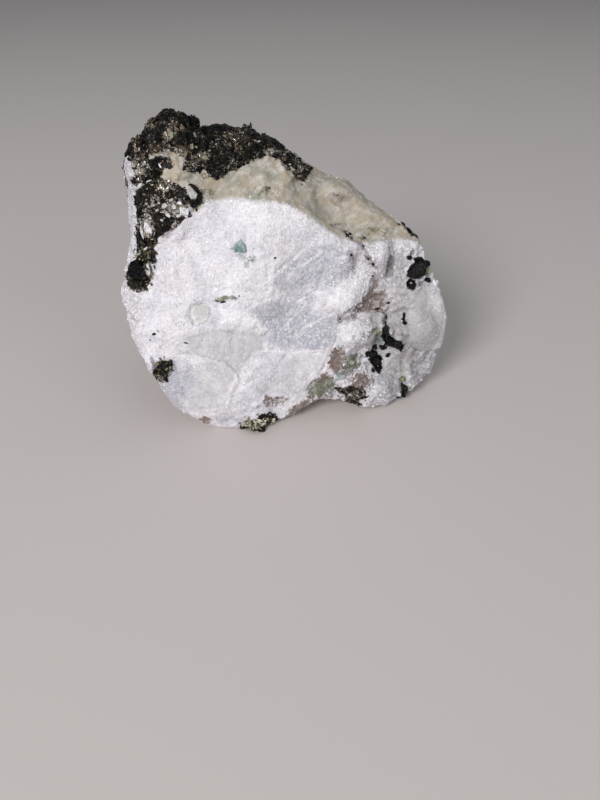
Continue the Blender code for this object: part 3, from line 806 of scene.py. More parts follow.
# %% Sockets that can be added and multiplied
class Term:
    """A node's output, which can be used in sums."""

    def __init__(self, recipe, socket):
        self.recipe = recipe
        self.socket = socket

    def with_math(self, operation, *others):
        return self.recipe.node("ShaderNodeMath", {"operation": operation}, dict(enumerate(others)))

    def __add__(self, other):
        return self.with_math("ADD", self, other)

    def __sub__(self, other):
        return self.with_math("SUBTRACT", self, other)

    def __rsub__(self, other):
        return self.with_math("SUBTRACT", other, self)

    def __mul__(self, other):
        return self.with_math("MULTIPLY", self, other)

    def __abs__(self):
        return self.with_math("ABSOLUTE", self)

    __radd__ = __add__
    __rmul__ = __mul__

    def at_least(self, other):
        return self.with_math("MAXIMUM", self, other)

    def step(self, start, end):
        """0 below start, 1 above end, and smooth between them."""
        return self.recipe.node(
            "ShaderNodeMapRange",
            {"interpolation_type": "SMOOTHSTEP"},
            {"Value": self, "From Min": start, "From Max": end},
        )


class Recipe:
    """A material's nodes."""

    def __init__(self, name):
        self.material = bpy.data.materials.new(name)
        self.material.use_nodes = True
        self.tree = self.material.node_tree
        self.tree.nodes.clear()
        self.out = self.tree.nodes.new("ShaderNodeOutputMaterial")
        self.shader = self.tree.nodes.new("ShaderNodeBsdfPrincipled")
        self.tree.links.new(self.shader.outputs[0], self.out.inputs[0])
        self.mm = self.node(
            "ShaderNodeVectorMath",
            {"operation": "SCALE"},
            {0: self.node("ShaderNodeTexCoord", {}, {}, "Object"), "Scale": 1 / MM},
        )

    def node(self, kind, settings, sockets, output=0):
        """Any node: its type, its settings, its sockets' values or links, and the output to use."""
        made = self.tree.nodes.new(kind)
        for key, value in settings.items():
            if key == "stops":
                for stop, (position, colour) in zip(ramp_stops(made, len(value)), value):
                    stop.position = position
                    stop.color = (*colour, 1.0)
            else:
                setattr(made, key, value)
        for key, value in sockets.items():
            self.put(made.inputs[key], value)
        return Term(self, made.outputs[output])

    def put(self, socket, value):
        if isinstance(value, Term):
            self.tree.links.new(value.socket, socket)
        elif isinstance(value, tuple) and len(value) == 3 and socket.type == "RGBA":
            socket.default_value = (*value, 1.0)
        else:
            socket.default_value = value

    def set(self, name, value):
        self.put(self.shader.inputs[name], value)

    def zone(self, name):
        return self.node("ShaderNodeAttribute", {"attribute_name": name}, {}, "Fac")

    def cloud(self, size, detail=3.0, rough=0.55, where=None):
        """Noise with patches of this size in millimetres, from 0 to 1."""
        return self.node(
            "ShaderNodeTexNoise",
            {},
            {"Vector": where or self.mm, "Scale": 1 / size, "Detail": detail, "Roughness": rough},
        )

    def grains(self, size, output="Distance", feature="F1", where=None):
        """A pattern of packed grains of this size in millimetres."""
        return self.node(
            "ShaderNodeTexVoronoi",
            {"feature": feature},
            {"Vector": where or self.mm, "Scale": 1 / size},
            output,
        )

    def number_of_each(self, size, channel, where=None):
        """A random number for each grain, the same all over it. Channels 0, 1 and 2 differ."""
        colours = self.grains(size, "Color", "F1", where)
        return self.node("ShaderNodeSeparateColor", {}, {0: colours}, channel)

    def mask(self, name, unevenness, start, end):
        """A zone with an uneven border, from 0 to 1."""
        return (self.zone(name) + unevenness).step(start, end)

    def blend(self, share, first, second):
        """A mix of two colours."""
        return self.node("ShaderNodeMix", {"data_type": "RGBA"}, {0: share, 6: first, 7: second}, 2)

    def coats(self, colour, *rows):
        """Coats laid over a colour. Each row is how much of the coat shows, and its colour."""
        for share, coat in rows:
            colour = self.blend(share, colour, coat)
        return colour

    def bump(self, height, strength):
        """A Bump node for a height in millimetres."""
        return self.node("ShaderNodeBump", {}, {"Height": height, "Strength": strength, "Distance": MM})


def ramp_stops(made, count):
    """The stops of a colour ramp, made up to this count."""
    stops = made.color_ramp.elements
    while len(stops) < count:
        stops.new(0.5)
    return stops


print("materials can be written as sums")

# %% [markdown]
# ## The stone's material begins with noise
# One material covers the whole skin, because the zones run into each other. Clouds of four sizes fray
# the zones and mottle the colours. One cloud is drawn out along the blades of the feldspar, which
# slant across the face. Broken grains are cells of a pattern that is bent a little by noise, so that
# their sides aren't straight.

# %% Noises of the stone
BLADE_TURN = (0.0, -0.66, 0.0)
BLADE_STRETCH = (5.0, 1.0, 1.0)
BEND = (1.3, 1.3, 1.3)      # millimetres
THREAD_THINNESS = 26.0

r = Recipe("moonstone")
broad_cloud = r.cloud(7.0)
middle_cloud = r.cloud(2.4, 5.0, 0.6)
fine_cloud = r.cloud(0.75, 5.0, 0.7)
tiny_cloud = r.cloud(0.28, 3.0, 0.7)
ragged = (middle_cloud - 0.5) * 1.3 + (fine_cloud - 0.5) * 1.0
along_blades = r.node(
    "ShaderNodeMapping",
    {"vector_type": "TEXTURE"},
    {"Vector": r.mm, "Rotation": BLADE_TURN, "Scale": BLADE_STRETCH},
)
blades = r.cloud(0.8, 4.0, 0.7, along_blades)
threads = (1 - abs(r.cloud(1.7, 5.0, 0.65) - 0.5) * THREAD_THINNESS).at_least(0) * fine_cloud.step(0.4, 0.6)
bent = r.node("ShaderNodeTexNoise", {}, {"Vector": r.mm, "Scale": 1.6, "Detail": 2.0}, "Color")
bent = r.node("ShaderNodeVectorMath", {"operation": "MULTIPLY_ADD"}, {0: bent, 1: BEND, 2: r.mm})
crumb = r.number_of_each(0.62, 0, bent)
seams = 1 - r.grains(1.5, "Distance", "DISTANCE_TO_EDGE", bent).step(0.02, 0.16)
fine_sugar = r.number_of_each(0.42, 0)
big_sugar = r.number_of_each(1.0, 1)
plane = r.number_of_each(5.0, 0, bent)
facet = r.number_of_each(2.1, 1, bent)
print("the noises use", len(r.tree.nodes), "nodes")

# %% [markdown]
# ## White sugar
# The face is a sugary white with a breath of pink and grey. Coats of pale grey are laid over it in
# mottles, haze and streaks, each only partly. One plain white would look like plaster.

# %% White feldspar
WHITE = (0.94, 0.89, 0.94)
PINK_WHITE = (0.98, 0.90, 0.92)
BRIGHT = (1.0, 0.97, 1.0)
PALE_GREY = (0.56, 0.55, 0.61)

mottle = (fine_cloud * 0.7 + tiny_cloud * 0.5 + big_sugar * 0.12).step(0.48, 0.80)
haze = (r.cloud(3.2, 4.0, 0.6) + fine_cloud * 0.4).step(0.60, 0.86)
streaks = (blades + fine_cloud * 0.3).step(0.50, 0.80)
# whiter feldspar and painted highlights
bright = r.mask("bright", ragged * 0.5, 0.15, 0.95)
colour = r.coats(
    r.blend((broad_cloud + fine_cloud * 0.6 - 0.3).step(0.35, 0.65), WHITE, PINK_WHITE),
    ((1 - mottle) * 0.4, PALE_GREY),
    (haze * 0.35, PALE_GREY),
    (streaks * 0.22, PALE_GREY),
    (bright * 0.8, BRIGHT),
)
print("white, with", len(r.tree.nodes), "nodes so far")

# %% [markdown]
# ## Glassy, grey and lilac patches
# Where the feldspar is clear, the eye looks into it and sees grey, with fine blades. Layers too thin to
# see give rainbow moonstone its flash. Nothing flashes here, but some patches have a breath of lilac.

# %% Clear patches
GLASS = (0.60, 0.575, 0.605)
CLEAR_GLASS = (0.47, 0.47, 0.47)
YELLOWISH = (0.66, 0.63, 0.56)
GREY_BLUE = (0.31, 0.315, 0.38)
LILAC = (0.40, 0.39, 0.52)

glass = r.mask("glass", ragged * 0.3, 0.15, 0.95)
glass_colour = r.blend(middle_cloud.step(0.35, 0.65), GLASS, CLEAR_GLASS)
glass_colour = r.blend(tiny_cloud.step(0.5, 0.9) * 0.4, glass_colour, PALE_GREY)
yellow = r.mask("yellow", ragged * 0.1, 0.2, 0.8)
grey = r.mask("grey", ragged * 0.6 + (blades - 0.5) * 0.6, 0.1, 0.9)
grey_colour = r.blend((blades * 0.8 + fine_cloud * 0.35).step(0.46, 0.68), GREY_BLUE, PALE_GREY)
lilac = r.mask("lilac", ragged * 1.1, 0.3, 0.95)
colour = r.coats(
    colour,
    (glass * 0.8, glass_colour),
    (yellow * 0.5, YELLOWISH),
    (grey * 0.9, grey_colour),
    (lilac * 0.6, LILAC),
)
print("clear patches, with", len(r.tree.nodes), "nodes so far")

# %% [markdown]
# ## Facets, sparkle and broken grains
# Each small facet faces its own way, so one is painted a little greyer and the next a little
# brighter: painted shade and highlight, on cells that also tilt the bump. Some grains get a painted
# sparkle of bright white and a few are dim. In the freshly broken parts the grains have dirty seams.

# %% Facets and grains
CRACK_GREY = (0.36, 0.34, 0.34)
# grime on broken grains, and painted shade in the hollows
GRIME_AND_SHADE = (0.42, 0.38, 0.38)

broken = r.zone("broken")
colour = r.coats(
    colour,
    # painted shade and highlight: facet cells greyer or brighter as if they faced the light differently
    (plane.step(0.45, 0.95) * 0.24, PALE_GREY),
    (facet.step(0.45, 0.95) * 0.20, PALE_GREY),
    (facet.step(0.4, 0.0) * 0.20 * (1 - grey * 0.5), BRIGHT),
    # painted sparkle: single grains painted bright white
    (fine_sugar.step(0.78, 0.84) * (1 - glass * 0.7) * (0.25 + bright * 0.4 + grey * 0.12), BRIGHT),
    (threads * 0.55 * (1 - glass * 0.5), BRIGHT),
    ((1 - fine_sugar).step(0.90, 0.96) * (1 - glass * 0.6) * 0.3, GREY_BLUE),
    (broken * (crumb + (fine_cloud - 0.5)).step(0.55, 0.75) * 0.28, GRIME_AND_SHADE),
    (broken * (1 - crumb).step(0.80, 0.88) * 0.5, BRIGHT),
    (broken * seams * middle_cloud.step(0.45, 0.60) * 0.55, CRACK_GREY),
)
print("facets and grains, with", len(r.tree.nodes), "nodes so far")

# %% [markdown]
# ## The cream top
# The cream of the top has greenish clouds, pale wisps along the blades and specks of
# dirt. Painted shade, a brownish grey, darkens its folds, the crevices, the right end, the left edge
# and the lower parts, where less light falls.

# %% Cream and painted shade
CREAM = (0.385, 0.32, 0.235)
PALE_CREAM = (0.46, 0.395, 0.305)
GREEN_CREAM = (0.32, 0.31, 0.25)
SHADE_AND_DIRT = (0.33, 0.30, 0.26)
PALE_GRAIN = (0.62, 0.60, 0.58)

cream = r.mask("cream", ragged * 0.35, 0.1, 0.9)
wisps = (r.cloud(1.2, 5.0, 0.7, along_blades) + tiny_cloud * 0.2).step(0.54, 0.72)
dirt = (fine_cloud * 0.7 + tiny_cloud * 0.4 + middle_cloud * 0.3).step(0.72, 0.92)
cream_colour = r.coats(
    r.blend((broad_cloud + middle_cloud * 0.4).step(0.6, 0.8), CREAM, PALE_CREAM),
    ((r.cloud(4.0) + fine_cloud * 0.3).step(0.62, 0.8) * 0.8, GREEN_CREAM),
    (wisps * 0.6, PALE_GRAIN),
    (dirt * 0.6, SHADE_AND_DIRT),
)
# painted shade, at half strength, over every zone
shade = r.mask("shade", ragged * 0.25, 0.1, 1.0)
colour = r.coats(colour, (cream, cream_colour), (shade * 0.5, SHADE_AND_DIRT))
print("the cream top, with", len(r.tree.nodes), "nodes so far")

# %% [markdown]
# ## Stains and painted shade
# Rust and a green mineral, perhaps chlorite, sit between the grains, so their edge is gritty and dark
# specks lie in them. A stain ends where its zone does, or the grit would sprinkle it all over the
# white. The hollows of the relief are darkened with painted shade, and the cracks are grey.

# %% Rust, green, painted shade in hollows and cracks
RUST = (0.21, 0.14, 0.105)
RED_RUST = (0.22, 0.105, 0.065)
OLIVE = (0.125, 0.14, 0.065)
TEAL = (0.20, 0.29, 0.285)
DARK_SPECK = (0.07, 0.055, 0.045)
STAIN_RIM = 0.2


def stain(name, gain, unevenness, start, end):
    """A stain with a gritty border, which stays inside its zone."""
    zone = r.zone(name)
    return (zone * gain + unevenness).step(start, end) * zone.step(0.0, STAIN_RIM)


grit = (fine_cloud - 0.5) * 4.0 + (tiny_cloud - 0.5) * 3.0 + (crumb - 0.5) * 1.6 + ragged * 0.6
speck = (fine_cloud * 0.6 + tiny_cloud * 0.7).step(0.60, 0.72)
rust_colour = r.blend(middle_cloud.step(0.45, 0.6), RUST, RED_RUST)
# painted shade in the hollows of the relief
hollow_shade = r.mask("hollow", (fine_cloud - 0.5) * 0.5, 0.12, 0.8) * (1 - cream * 0.4)
crack = (r.zone("crack") * 2.6 + ragged * 0.5).step(0.3, 1.3)
colour = r.coats(
    colour,
    (stain("rust", 1.5, grit * 0.5, 0.15, 1.05) * 0.9, r.blend(speck * 0.75, rust_colour, DARK_SPECK)),
    (stain("green", 1.5, grit * 0.5, 0.15, 1.0) * 0.85, r.blend(speck * 0.7, OLIVE, DARK_SPECK)),
    (stain("teal", 1.0, grit * 0.25, 0.3, 0.8) * 0.62, TEAL),
    (hollow_shade * 0.55, GRIME_AND_SHADE),
    (crack * 0.55, CRACK_GREY),
)
print("stains, with", len(r.tree.nodes), "nodes so far")

# %% [markdown]
# ## Black crystals and the ground of the crust
# Under the modelled crystals and flakes the skin itself is black too, or white would show through
# the gaps between them. Pale grains are mixed into the mica where the photograph shows them.

# %% Black and mica
MICA_BLACK = (0.012, 0.010, 0.010)
MICA_BROWN = (0.060, 0.042, 0.028)
DARK_GRAIN = (0.20, 0.18, 0.15)

black = r.mask("black", ragged * 0.9 + (tiny_cloud - 0.5) * 2.0, 0.36, 0.60)
black = black * r.zone("black").step(0.0, 0.25)
pale_share = r.zone("speckled") * 1.1 + (middle_cloud - 0.5) * 0.8
pale = (pale_share - r.number_of_each(0.6, 2, bent) * 0.9).step(-0.04, 0.06)
crusted = r.mask("mica", ragged * 0.7 + (tiny_cloud - 0.5) * 0.9, -0.15, 0.12)
ground = r.blend(fine_cloud.step(0.45, 0.7), MICA_BLACK, MICA_BROWN)
grain_colour = r.blend((tiny_cloud + fine_cloud * 0.4).step(0.55, 0.85), DARK_GRAIN, PALE_GRAIN)
colour = r.coats(colour, (black, MICA_BLACK), (crusted, r.blend(pale, ground, grain_colour)))
print("black and mica, with", len(r.tree.nodes), "nodes so far")

# %% [markdown]
# ## Gloss and fine relief
# Glassy patches shine and sugar is dull, but single grains glint. The finest grain is a bump, because
# the cells of the skin are too coarse for it. A little light scatters below the surface, which softens
# the shadows between the grains.

# %% Gloss and fine relief
SCATTER_SHARE = 0.12
SCATTER_REACH = (0.7 * MM, 0.65 * MM, 0.75 * MM)
FELDSPAR_IOR = 1.53

gloss = 0.60 - glass * 0.26 - grey * 0.14 - fine_sugar.step(0.5, 1.0) * 0.30
gloss = gloss * (1 - crusted) + (0.40 + fine_cloud * 0.25) * crusted
height = r.grains(0.5) * 0.06 + r.grains(1.3) * 0.08 + tiny_cloud * 0.13 + fine_cloud * 0.24
height = (height + blades * 0.16) * (1 - glass * 0.72) * (1 - cream * 0.25)
height = height + crusted * fine_cloud * 0.4 + grey * blades * 0.25
height = height + broken * crumb * 0.16 - broken * seams * 0.12
height = height + (plane + facet * 0.7) * 0.12 * (1 - cream)
r.set("Base Color", colour)
r.set("Metallic", (black * 0.8).at_least(crusted * (1 - pale) * 0.6))
r.set("Roughness", gloss * (1 - black * 0.6))
r.set("Normal", r.bump(height, 1.0))
r.set("Subsurface Weight", SCATTER_SHARE)
r.set("Subsurface Radius", SCATTER_REACH)
r.set("Subsurface Scale", 1.0)
r.set("IOR", FELDSPAR_IOR)
stone.data.materials.clear()
stone.data.materials.append(r.material)
print("the stone's material has", len(r.tree.nodes), "nodes")

# %% [markdown]
# ## Small shapes and their copies
# The flakes, grains and crystals are small closed shapes. Each is modelled once, in the middle of the
# frame and about one unit from its middle to its rim. Copies are then placed, turned and sized all at
# once with arrays, and joined into one mesh, so that thousands of them stay one plain object.

# %% Small shapes
def arrays_of(shape):
    """A shape's points and triangles as arrays."""
    bmesh.ops.triangulate(shape, faces=shape.faces)
    bmesh.ops.recalc_face_normals(shape, faces=shape.faces)
    shape.verts.index_update()
    points = np.array([vert.co[:] for vert in shape.verts])
    corners = np.array([[vert.index for vert in face.verts] for face in shape.faces])
    shape.free()
    return points, corners


def plate(sides, narrow, skew):
    """A thin plate with uneven sides."""
    shape = bmesh.new()
    bmesh.ops.create_circle(shape, cap_ends=True, segments=sides, radius=1.0)
    for index, vert in enumerate(shape.verts):
        vert.co *= 1.0 + skew * math.sin(2.4 * index + 9.0 * narrow)
    bmesh.ops.scale(shape, vec=(1.0, narrow, 1.0), verts=shape.verts)
    made = bmesh.ops.extrude_face_region(shape, geom=shape.faces[:])
    raised = [piece for piece in made["geom"] if isinstance(piece, bmesh.types.BMVert)]
    bmesh.ops.translate(shape, vec=(0.06, 0.03, 0.16), verts=raised)
    return arrays_of(shape)


def grain_shape(seed):
    """An angular grain with eight uneven corners."""
    shape = bmesh.new()
    bmesh.ops.create_cube(shape, size=1.3)
    for index, vert in enumerate(shape.verts):
        shift = noise.cell_vector(Vector((seed * 7.3, index * 3.1, 1.7)))
        vert.co += shift * 0.55 - Vector((0.27, 0.27, 0.27))
    return arrays_of(shape)


def block(sides, seed):
    """A crystal with a bevelled rim and one chipped corner."""
    shape = bmesh.new()
    bmesh.ops.create_cone(shape, cap_ends=True, segments=sides, radius1=1.05, radius2=0.92, depth=2.0)
    for index, vert in enumerate(shape.verts):
        vert.co.xy *= 1.0 + 0.16 * math.sin(3.7 * (index // 2) + seed)
    bmesh.ops.bevel(
        shape, geom=shape.edges[:], offset=0.10, segments=1, profile=0.5, affect="EDGES", material=-1
    )
    lean = Vector((math.cos(seed * 2.1), math.sin(seed * 2.1), 0.9)).normalized()
    bmesh.ops.bisect_plane(
        shape, geom=shape.verts[:] + shape.edges[:] + shape.faces[:],
        plane_co=lean * 1.02, plane_no=lean, clear_outer=True,
    )
    bmesh.ops.holes_fill(shape, edges=[edge for edge in shape.edges if edge.is_boundary], sides=0)
    bmesh.ops.scale(shape, vec=(1.0, 1.0, 0.5), verts=shape.verts)
    return arrays_of(shape)


plates = [plate(4, 0.35, 0.20), plate(5, 0.45, 0.25), plate(5, 0.65, 0.22), plate(6, 0.5, 0.20)]
grains = [grain_shape(seed) for seed in range(5)]
blocks = [block(sides, float(seed)) for seed, sides in enumerate((6, 5, 7, 6, 9))]
for name, kind in (("plate", plates), ("grain", grains), ("block", blocks)):
    print("a", name, "has", len(kind[0][1]), "triangles")

# %% [markdown]
# ## Many copies, one mesh
# A copy is a small shape times three sizes, turned, and moved to its place. With arrays all copies of
# a shape are made at once, and each point also keeps its copy's tone for the material. Which points
# are drawn mustn't hang on the order that the remesh left them in, so they are sorted by place first.

# %% Copies joined into one mesh
def turned_to(directions, spins):
    """Matrices that turn +Z to each direction, after a spin about it."""
    z = directions / np.linalg.norm(directions, axis=1)[:, None]
    side = np.where(np.abs(z[:, 2:]) < 0.9, [[0.0, 0.0, 1.0]], [[1.0, 0.0, 0.0]])
    x = np.cross(side, z)
    x /= np.linalg.norm(x, axis=1)[:, None]
    y = np.cross(z, x)
    cos, sin = np.cos(spins)[:, None], np.sin(spins)[:, None]
    return np.stack([x * cos + y * sin, y * cos - x * sin, z], axis=2)


def joined_copies(name, shapes, picks, turns, sizes, where, tones):
    """One mesh of copies. Each has a shape number, a turn, three sizes, a place and a tone."""
    all_points = []
    all_corners = []
    all_tones = []
    start = 0
    for number, (points, corners) in enumerate(shapes):
        mine = picks == number
        count = int(mine.sum())
        placed = np.einsum("nij,nmj->nmi", turns[mine], points[None] * sizes[mine][:, None])
        all_points.append((placed + where[mine][:, None]).reshape(-1, 3))
        shift = start + np.arange(count) * len(points)
        all_corners.append((corners[None] + shift[:, None, None]).reshape(-1, 3))
        all_tones.append(np.repeat(tones[mine], len(points)))
        start += count * len(points)
    mesh = bpy.data.meshes.new(name)
    places = np.clip(np.concatenate(all_points), np.array(cad_low), np.array(cad_high))
    mesh.from_pydata(places.tolist(), [], np.concatenate(all_corners).tolist())
    store(mesh, "tone", np.concatenate(all_tones))
    item = linked(name, mesh)
    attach(item, "root")
    print(name, "has", len(mesh.polygons), "triangles")
    return item


draw = np.random.default_rng(7)
in_order = np.lexsort(np.round(base / MM, 3).T)


def drawn_points(weight, count):
    """Points of the skin drawn at random by weight, whatever order the remesh left them in."""
    share = weight[in_order]
    return in_order[draw.choice(len(in_order), count, p=share / share.sum())]


skin_places = read_vectors(skin_mesh, "co")
skin_normals = read_vectors(skin_mesh, "normal")

# %% [markdown]
# ## Mica flakes
# Mica splits into thin plates. On the crust thousands of plate edges stand out and glint, and no
# bump can do that. Neighbouring plates lie nearly parallel, in books whose direction wanders over a
# few millimetres, so whole patches catch the light together. Each plate keeps its own tone, from
# black to bronze.

# %% Flakes over the crust
FLAKES_IN_A_PIECE = 12000
BOOK_SIZE = 3.2         # millimetres
HORN_EDGE = 204.0       # pixels across
HORN_BOTTOM = 156.0     # pixels down
FLAKE_SIZE = (-1.18, 0.38)      # the logarithm of the radius in millimetres: middle and spread
FLAKE_RADII = (0.12, 0.60)      # millimetres, smallest and largest
LARGE_FLAKE = 0.35
STRAY_SHARE = 0.07
STRAY_REACH = 0.7       # millimetres past the crust's border
BOOK_SEED = 3
noise.seed_set(BOOK_SEED)       # the vector noise of the books would start from the clock otherwise


def noise_vectors(where, size, seed):
    """A slowly wandering direction at each place, with patches of this size in millimetres."""
    shift = Vector((seed * 13.1, seed * 7.7, seed * 3.9))
    return np.array([noise.noise_vector(Vector(place) / (size * MM) + shift) for place in where])


def mica_flakes(name, share):
    """Flakes over the part of the crust that this share picks."""
    stray = np.where(mica > -STRAY_REACH, STRAY_SHARE, 0.0)
    weight = np.where(mica > 0.0, 1 - 0.5 * speckled, stray) * (0.3 + 0.7 * seen) * share
    weight = weight * (1 - np.clip(1.5 * zones["black"], 0, 1))
    chosen = drawn_points(weight, FLAKES_IN_A_PIECE)
    count = len(chosen)
    outward = broad[chosen]
    books = noise_vectors(skin_places[chosen], BOOK_SIZE, 1)
    directions = outward * 1.5 + books * 1.2 + draw.normal(0, 0.18, (count, 3))
    radius = np.clip(draw.lognormal(*FLAKE_SIZE, count), *FLAKE_RADII)
    stack = draw.uniform(0.5, 1.3, count)
    sizes = np.stack([radius, radius, radius * stack], axis=1) * MM
    depth = draw.uniform(-0.30, 0.04, count)
    where = skin_places[chosen] + outward * (depth * MM)[:, None]
    streak = np.array([noise.noise(Vector(place) / (0.9 * MM)) for place in where])
    patch = np.array([noise.noise(Vector(place) / (2.6 * MM)) for place in where])
    # high tones are painted glints; large flakes are kept darker, so that few large ones glint
    tones = draw.beta(1.0, 2.0, count) * 0.9 + 0.35 * streak + 0.35 * patch + 0.04
    tones = tones - 0.7 * np.clip(radius - LARGE_FLAKE, 0, 1)
    tones = tones + (0.7 * bronze[chosen] + 1.1 * speckled[chosen]) * draw.uniform(0, 1.0, count)
    turns = turned_to(directions, draw.uniform(0, math.tau, count))
    picks = draw.integers(len(plates), size=count)
    item = joined_copies(name, plates, picks, turns, sizes, where, tones)
    return item


on_horn = np.where((spots[:, 0] < HORN_EDGE) & (spots[:, 1] < HORN_BOTTOM), 1.0, 0.0) * seen
on_mound = np.where(spots[:, 0] >= HORN_EDGE, 1.0, 0.0) * seen
crust_pieces = [
    mica_flakes("horn_mica", on_horn + 1e-4),
    mica_flakes("mound_mica", on_mound + 1e-4),
    mica_flakes("side_mica", np.clip(1.0 - on_horn - on_mound, 1e-4, 1)),
]
print(len(crust_pieces), "pieces of crust")

# %% [markdown]
# ## Bronze mica
# Most flakes are nearly black and some bronze. The palest tones, up to almost silver, are painted
# glints, given to flakes at random and not by how they face the light. One ramp of colours does
# this, read by each flake's own tone, and a little noise keeps a flake from being all one colour.

# %% Bronze mica
MICA_TONES = (
    (0.0, (0.006, 0.006, 0.007)),
    (0.38, (0.016, 0.015, 0.015)),
    (0.52, (0.060, 0.047, 0.035)),
    (0.72, (0.18, 0.13, 0.08)),
    (0.88, (0.38, 0.30, 0.21)),
    # the palest stop is a painted glint
    (1.0, (0.60, 0.57, 0.53)),
)


def flake_look(name, tones, unevenness, metal, rough, noise_size, rougher, relief, strength):
    """Shiny flakes whose colour is read from a ramp by each flake's tone."""
    r = Recipe(name)
    tone = r.zone("tone")
    if unevenness:
        tone = tone + (r.cloud(0.5) - 0.5) * unevenness
    r.set("Base Color", r.node("ShaderNodeValToRGB", {"stops": tones}, {0: tone}))
    r.set("Metallic", metal)
    r.set("Roughness", rough + r.cloud(noise_size) * rougher)
    r.set("Normal", r.bump(r.cloud(0.3) * relief, strength))
    return r


bronze_mica = flake_look("bronze_mica", MICA_TONES, 0.35, 0.7, 0.26, 0.5, 0.25, 0.12, 0.7)
bronze_mica.set("IOR", 1.5)
bronze_mica.set("Specular IOR Level", 0.3)
for item in crust_pieces:
    item.data.materials.append(bronze_mica.material)
print("bronze mica is on the flakes")

# %% [markdown]
# ## Sugar
# The broken white face is covered with tiny angular grains. They are placed where the skin is white
# and rough, sunk more than halfway, and mostly left off the glassy patches.

# %% Sugar grains
SUGAR_GRAINS = 9000
SUGAR_SIZE = (-1.95, 0.35)      # the logarithm of the radius in millimetres: middle and spread
SUGAR_RADII = (0.07, 0.28)      # millimetres, smallest and largest
SUNK = 0.35             # of the radius
CLEAR_OF_FOOT = 0.8     # millimetres

# stains, painted shade, black and lilac, where no sugar goes
stains_and_shade = np.max([zones[zone] for zone in ("rust", "green", "teal", "shade", "black", "lilac")], axis=0)
roughness_there = 0.15 + 0.9 * zones["bright"] + 0.35 * rugged + 0.8 * np.clip(wander, 0, 1)
bare = np.clip(1 - zones["glass"], 0.06, 1) * np.clip(1 - 0.6 * zones["grey"], 0.1, 1)
bare = bare * np.clip(1 - 1.6 * stains_and_shade, 0, 1)
weight = roughness_there * bare * (1 - zones["cream"]) * (mica < -0.1) * (millimetres[:, 2] > CLEAR_OF_FOOT)
weight = weight * (0.3 + 0.7 * seen)
chosen = drawn_points(weight, SUGAR_GRAINS)
radius = np.clip(draw.lognormal(*SUGAR_SIZE, SUGAR_GRAINS), *SUGAR_RADII) * MM
sizes = radius[:, None] * draw.uniform(0.7, 1.3, (SUGAR_GRAINS, 3))
directions = skin_normals[chosen] + draw.normal(0, 0.7, (SUGAR_GRAINS, 3))
sugar = joined_copies(
    "sugar",
    grains,
    draw.integers(len(grains), size=SUGAR_GRAINS),
    turned_to(directions, draw.uniform(0, math.tau, SUGAR_GRAINS)),
    sizes,
    skin_places[chosen] - skin_normals[chosen] * (radius * SUNK)[:, None],
    draw.uniform(0, 1, SUGAR_GRAINS),
)
print(SUGAR_GRAINS, "grains of sugar")

# %% [markdown]
# ## The colour of the sugar
# Each grain is between a lilac grey and almost white, by its own tone, and shinier than the skin
# under it, so that single grains glint.

# %% Sugar white
GREY_GRAIN = (0.74, 0.72, 0.78)
WHITE_GRAIN = (0.99, 0.95, 0.98)

sugar_white = Recipe("sugar_white")
sugar_white.set("Base Color", sugar_white.blend(sugar_white.zone("tone"), GREY_GRAIN, WHITE_GRAIN))
sugar_white.set("Roughness", 0.30)
sugar_white.set("IOR", FELDSPAR_IOR)
sugar.data.materials.append(sugar_white.material)
print("the sugar is white")
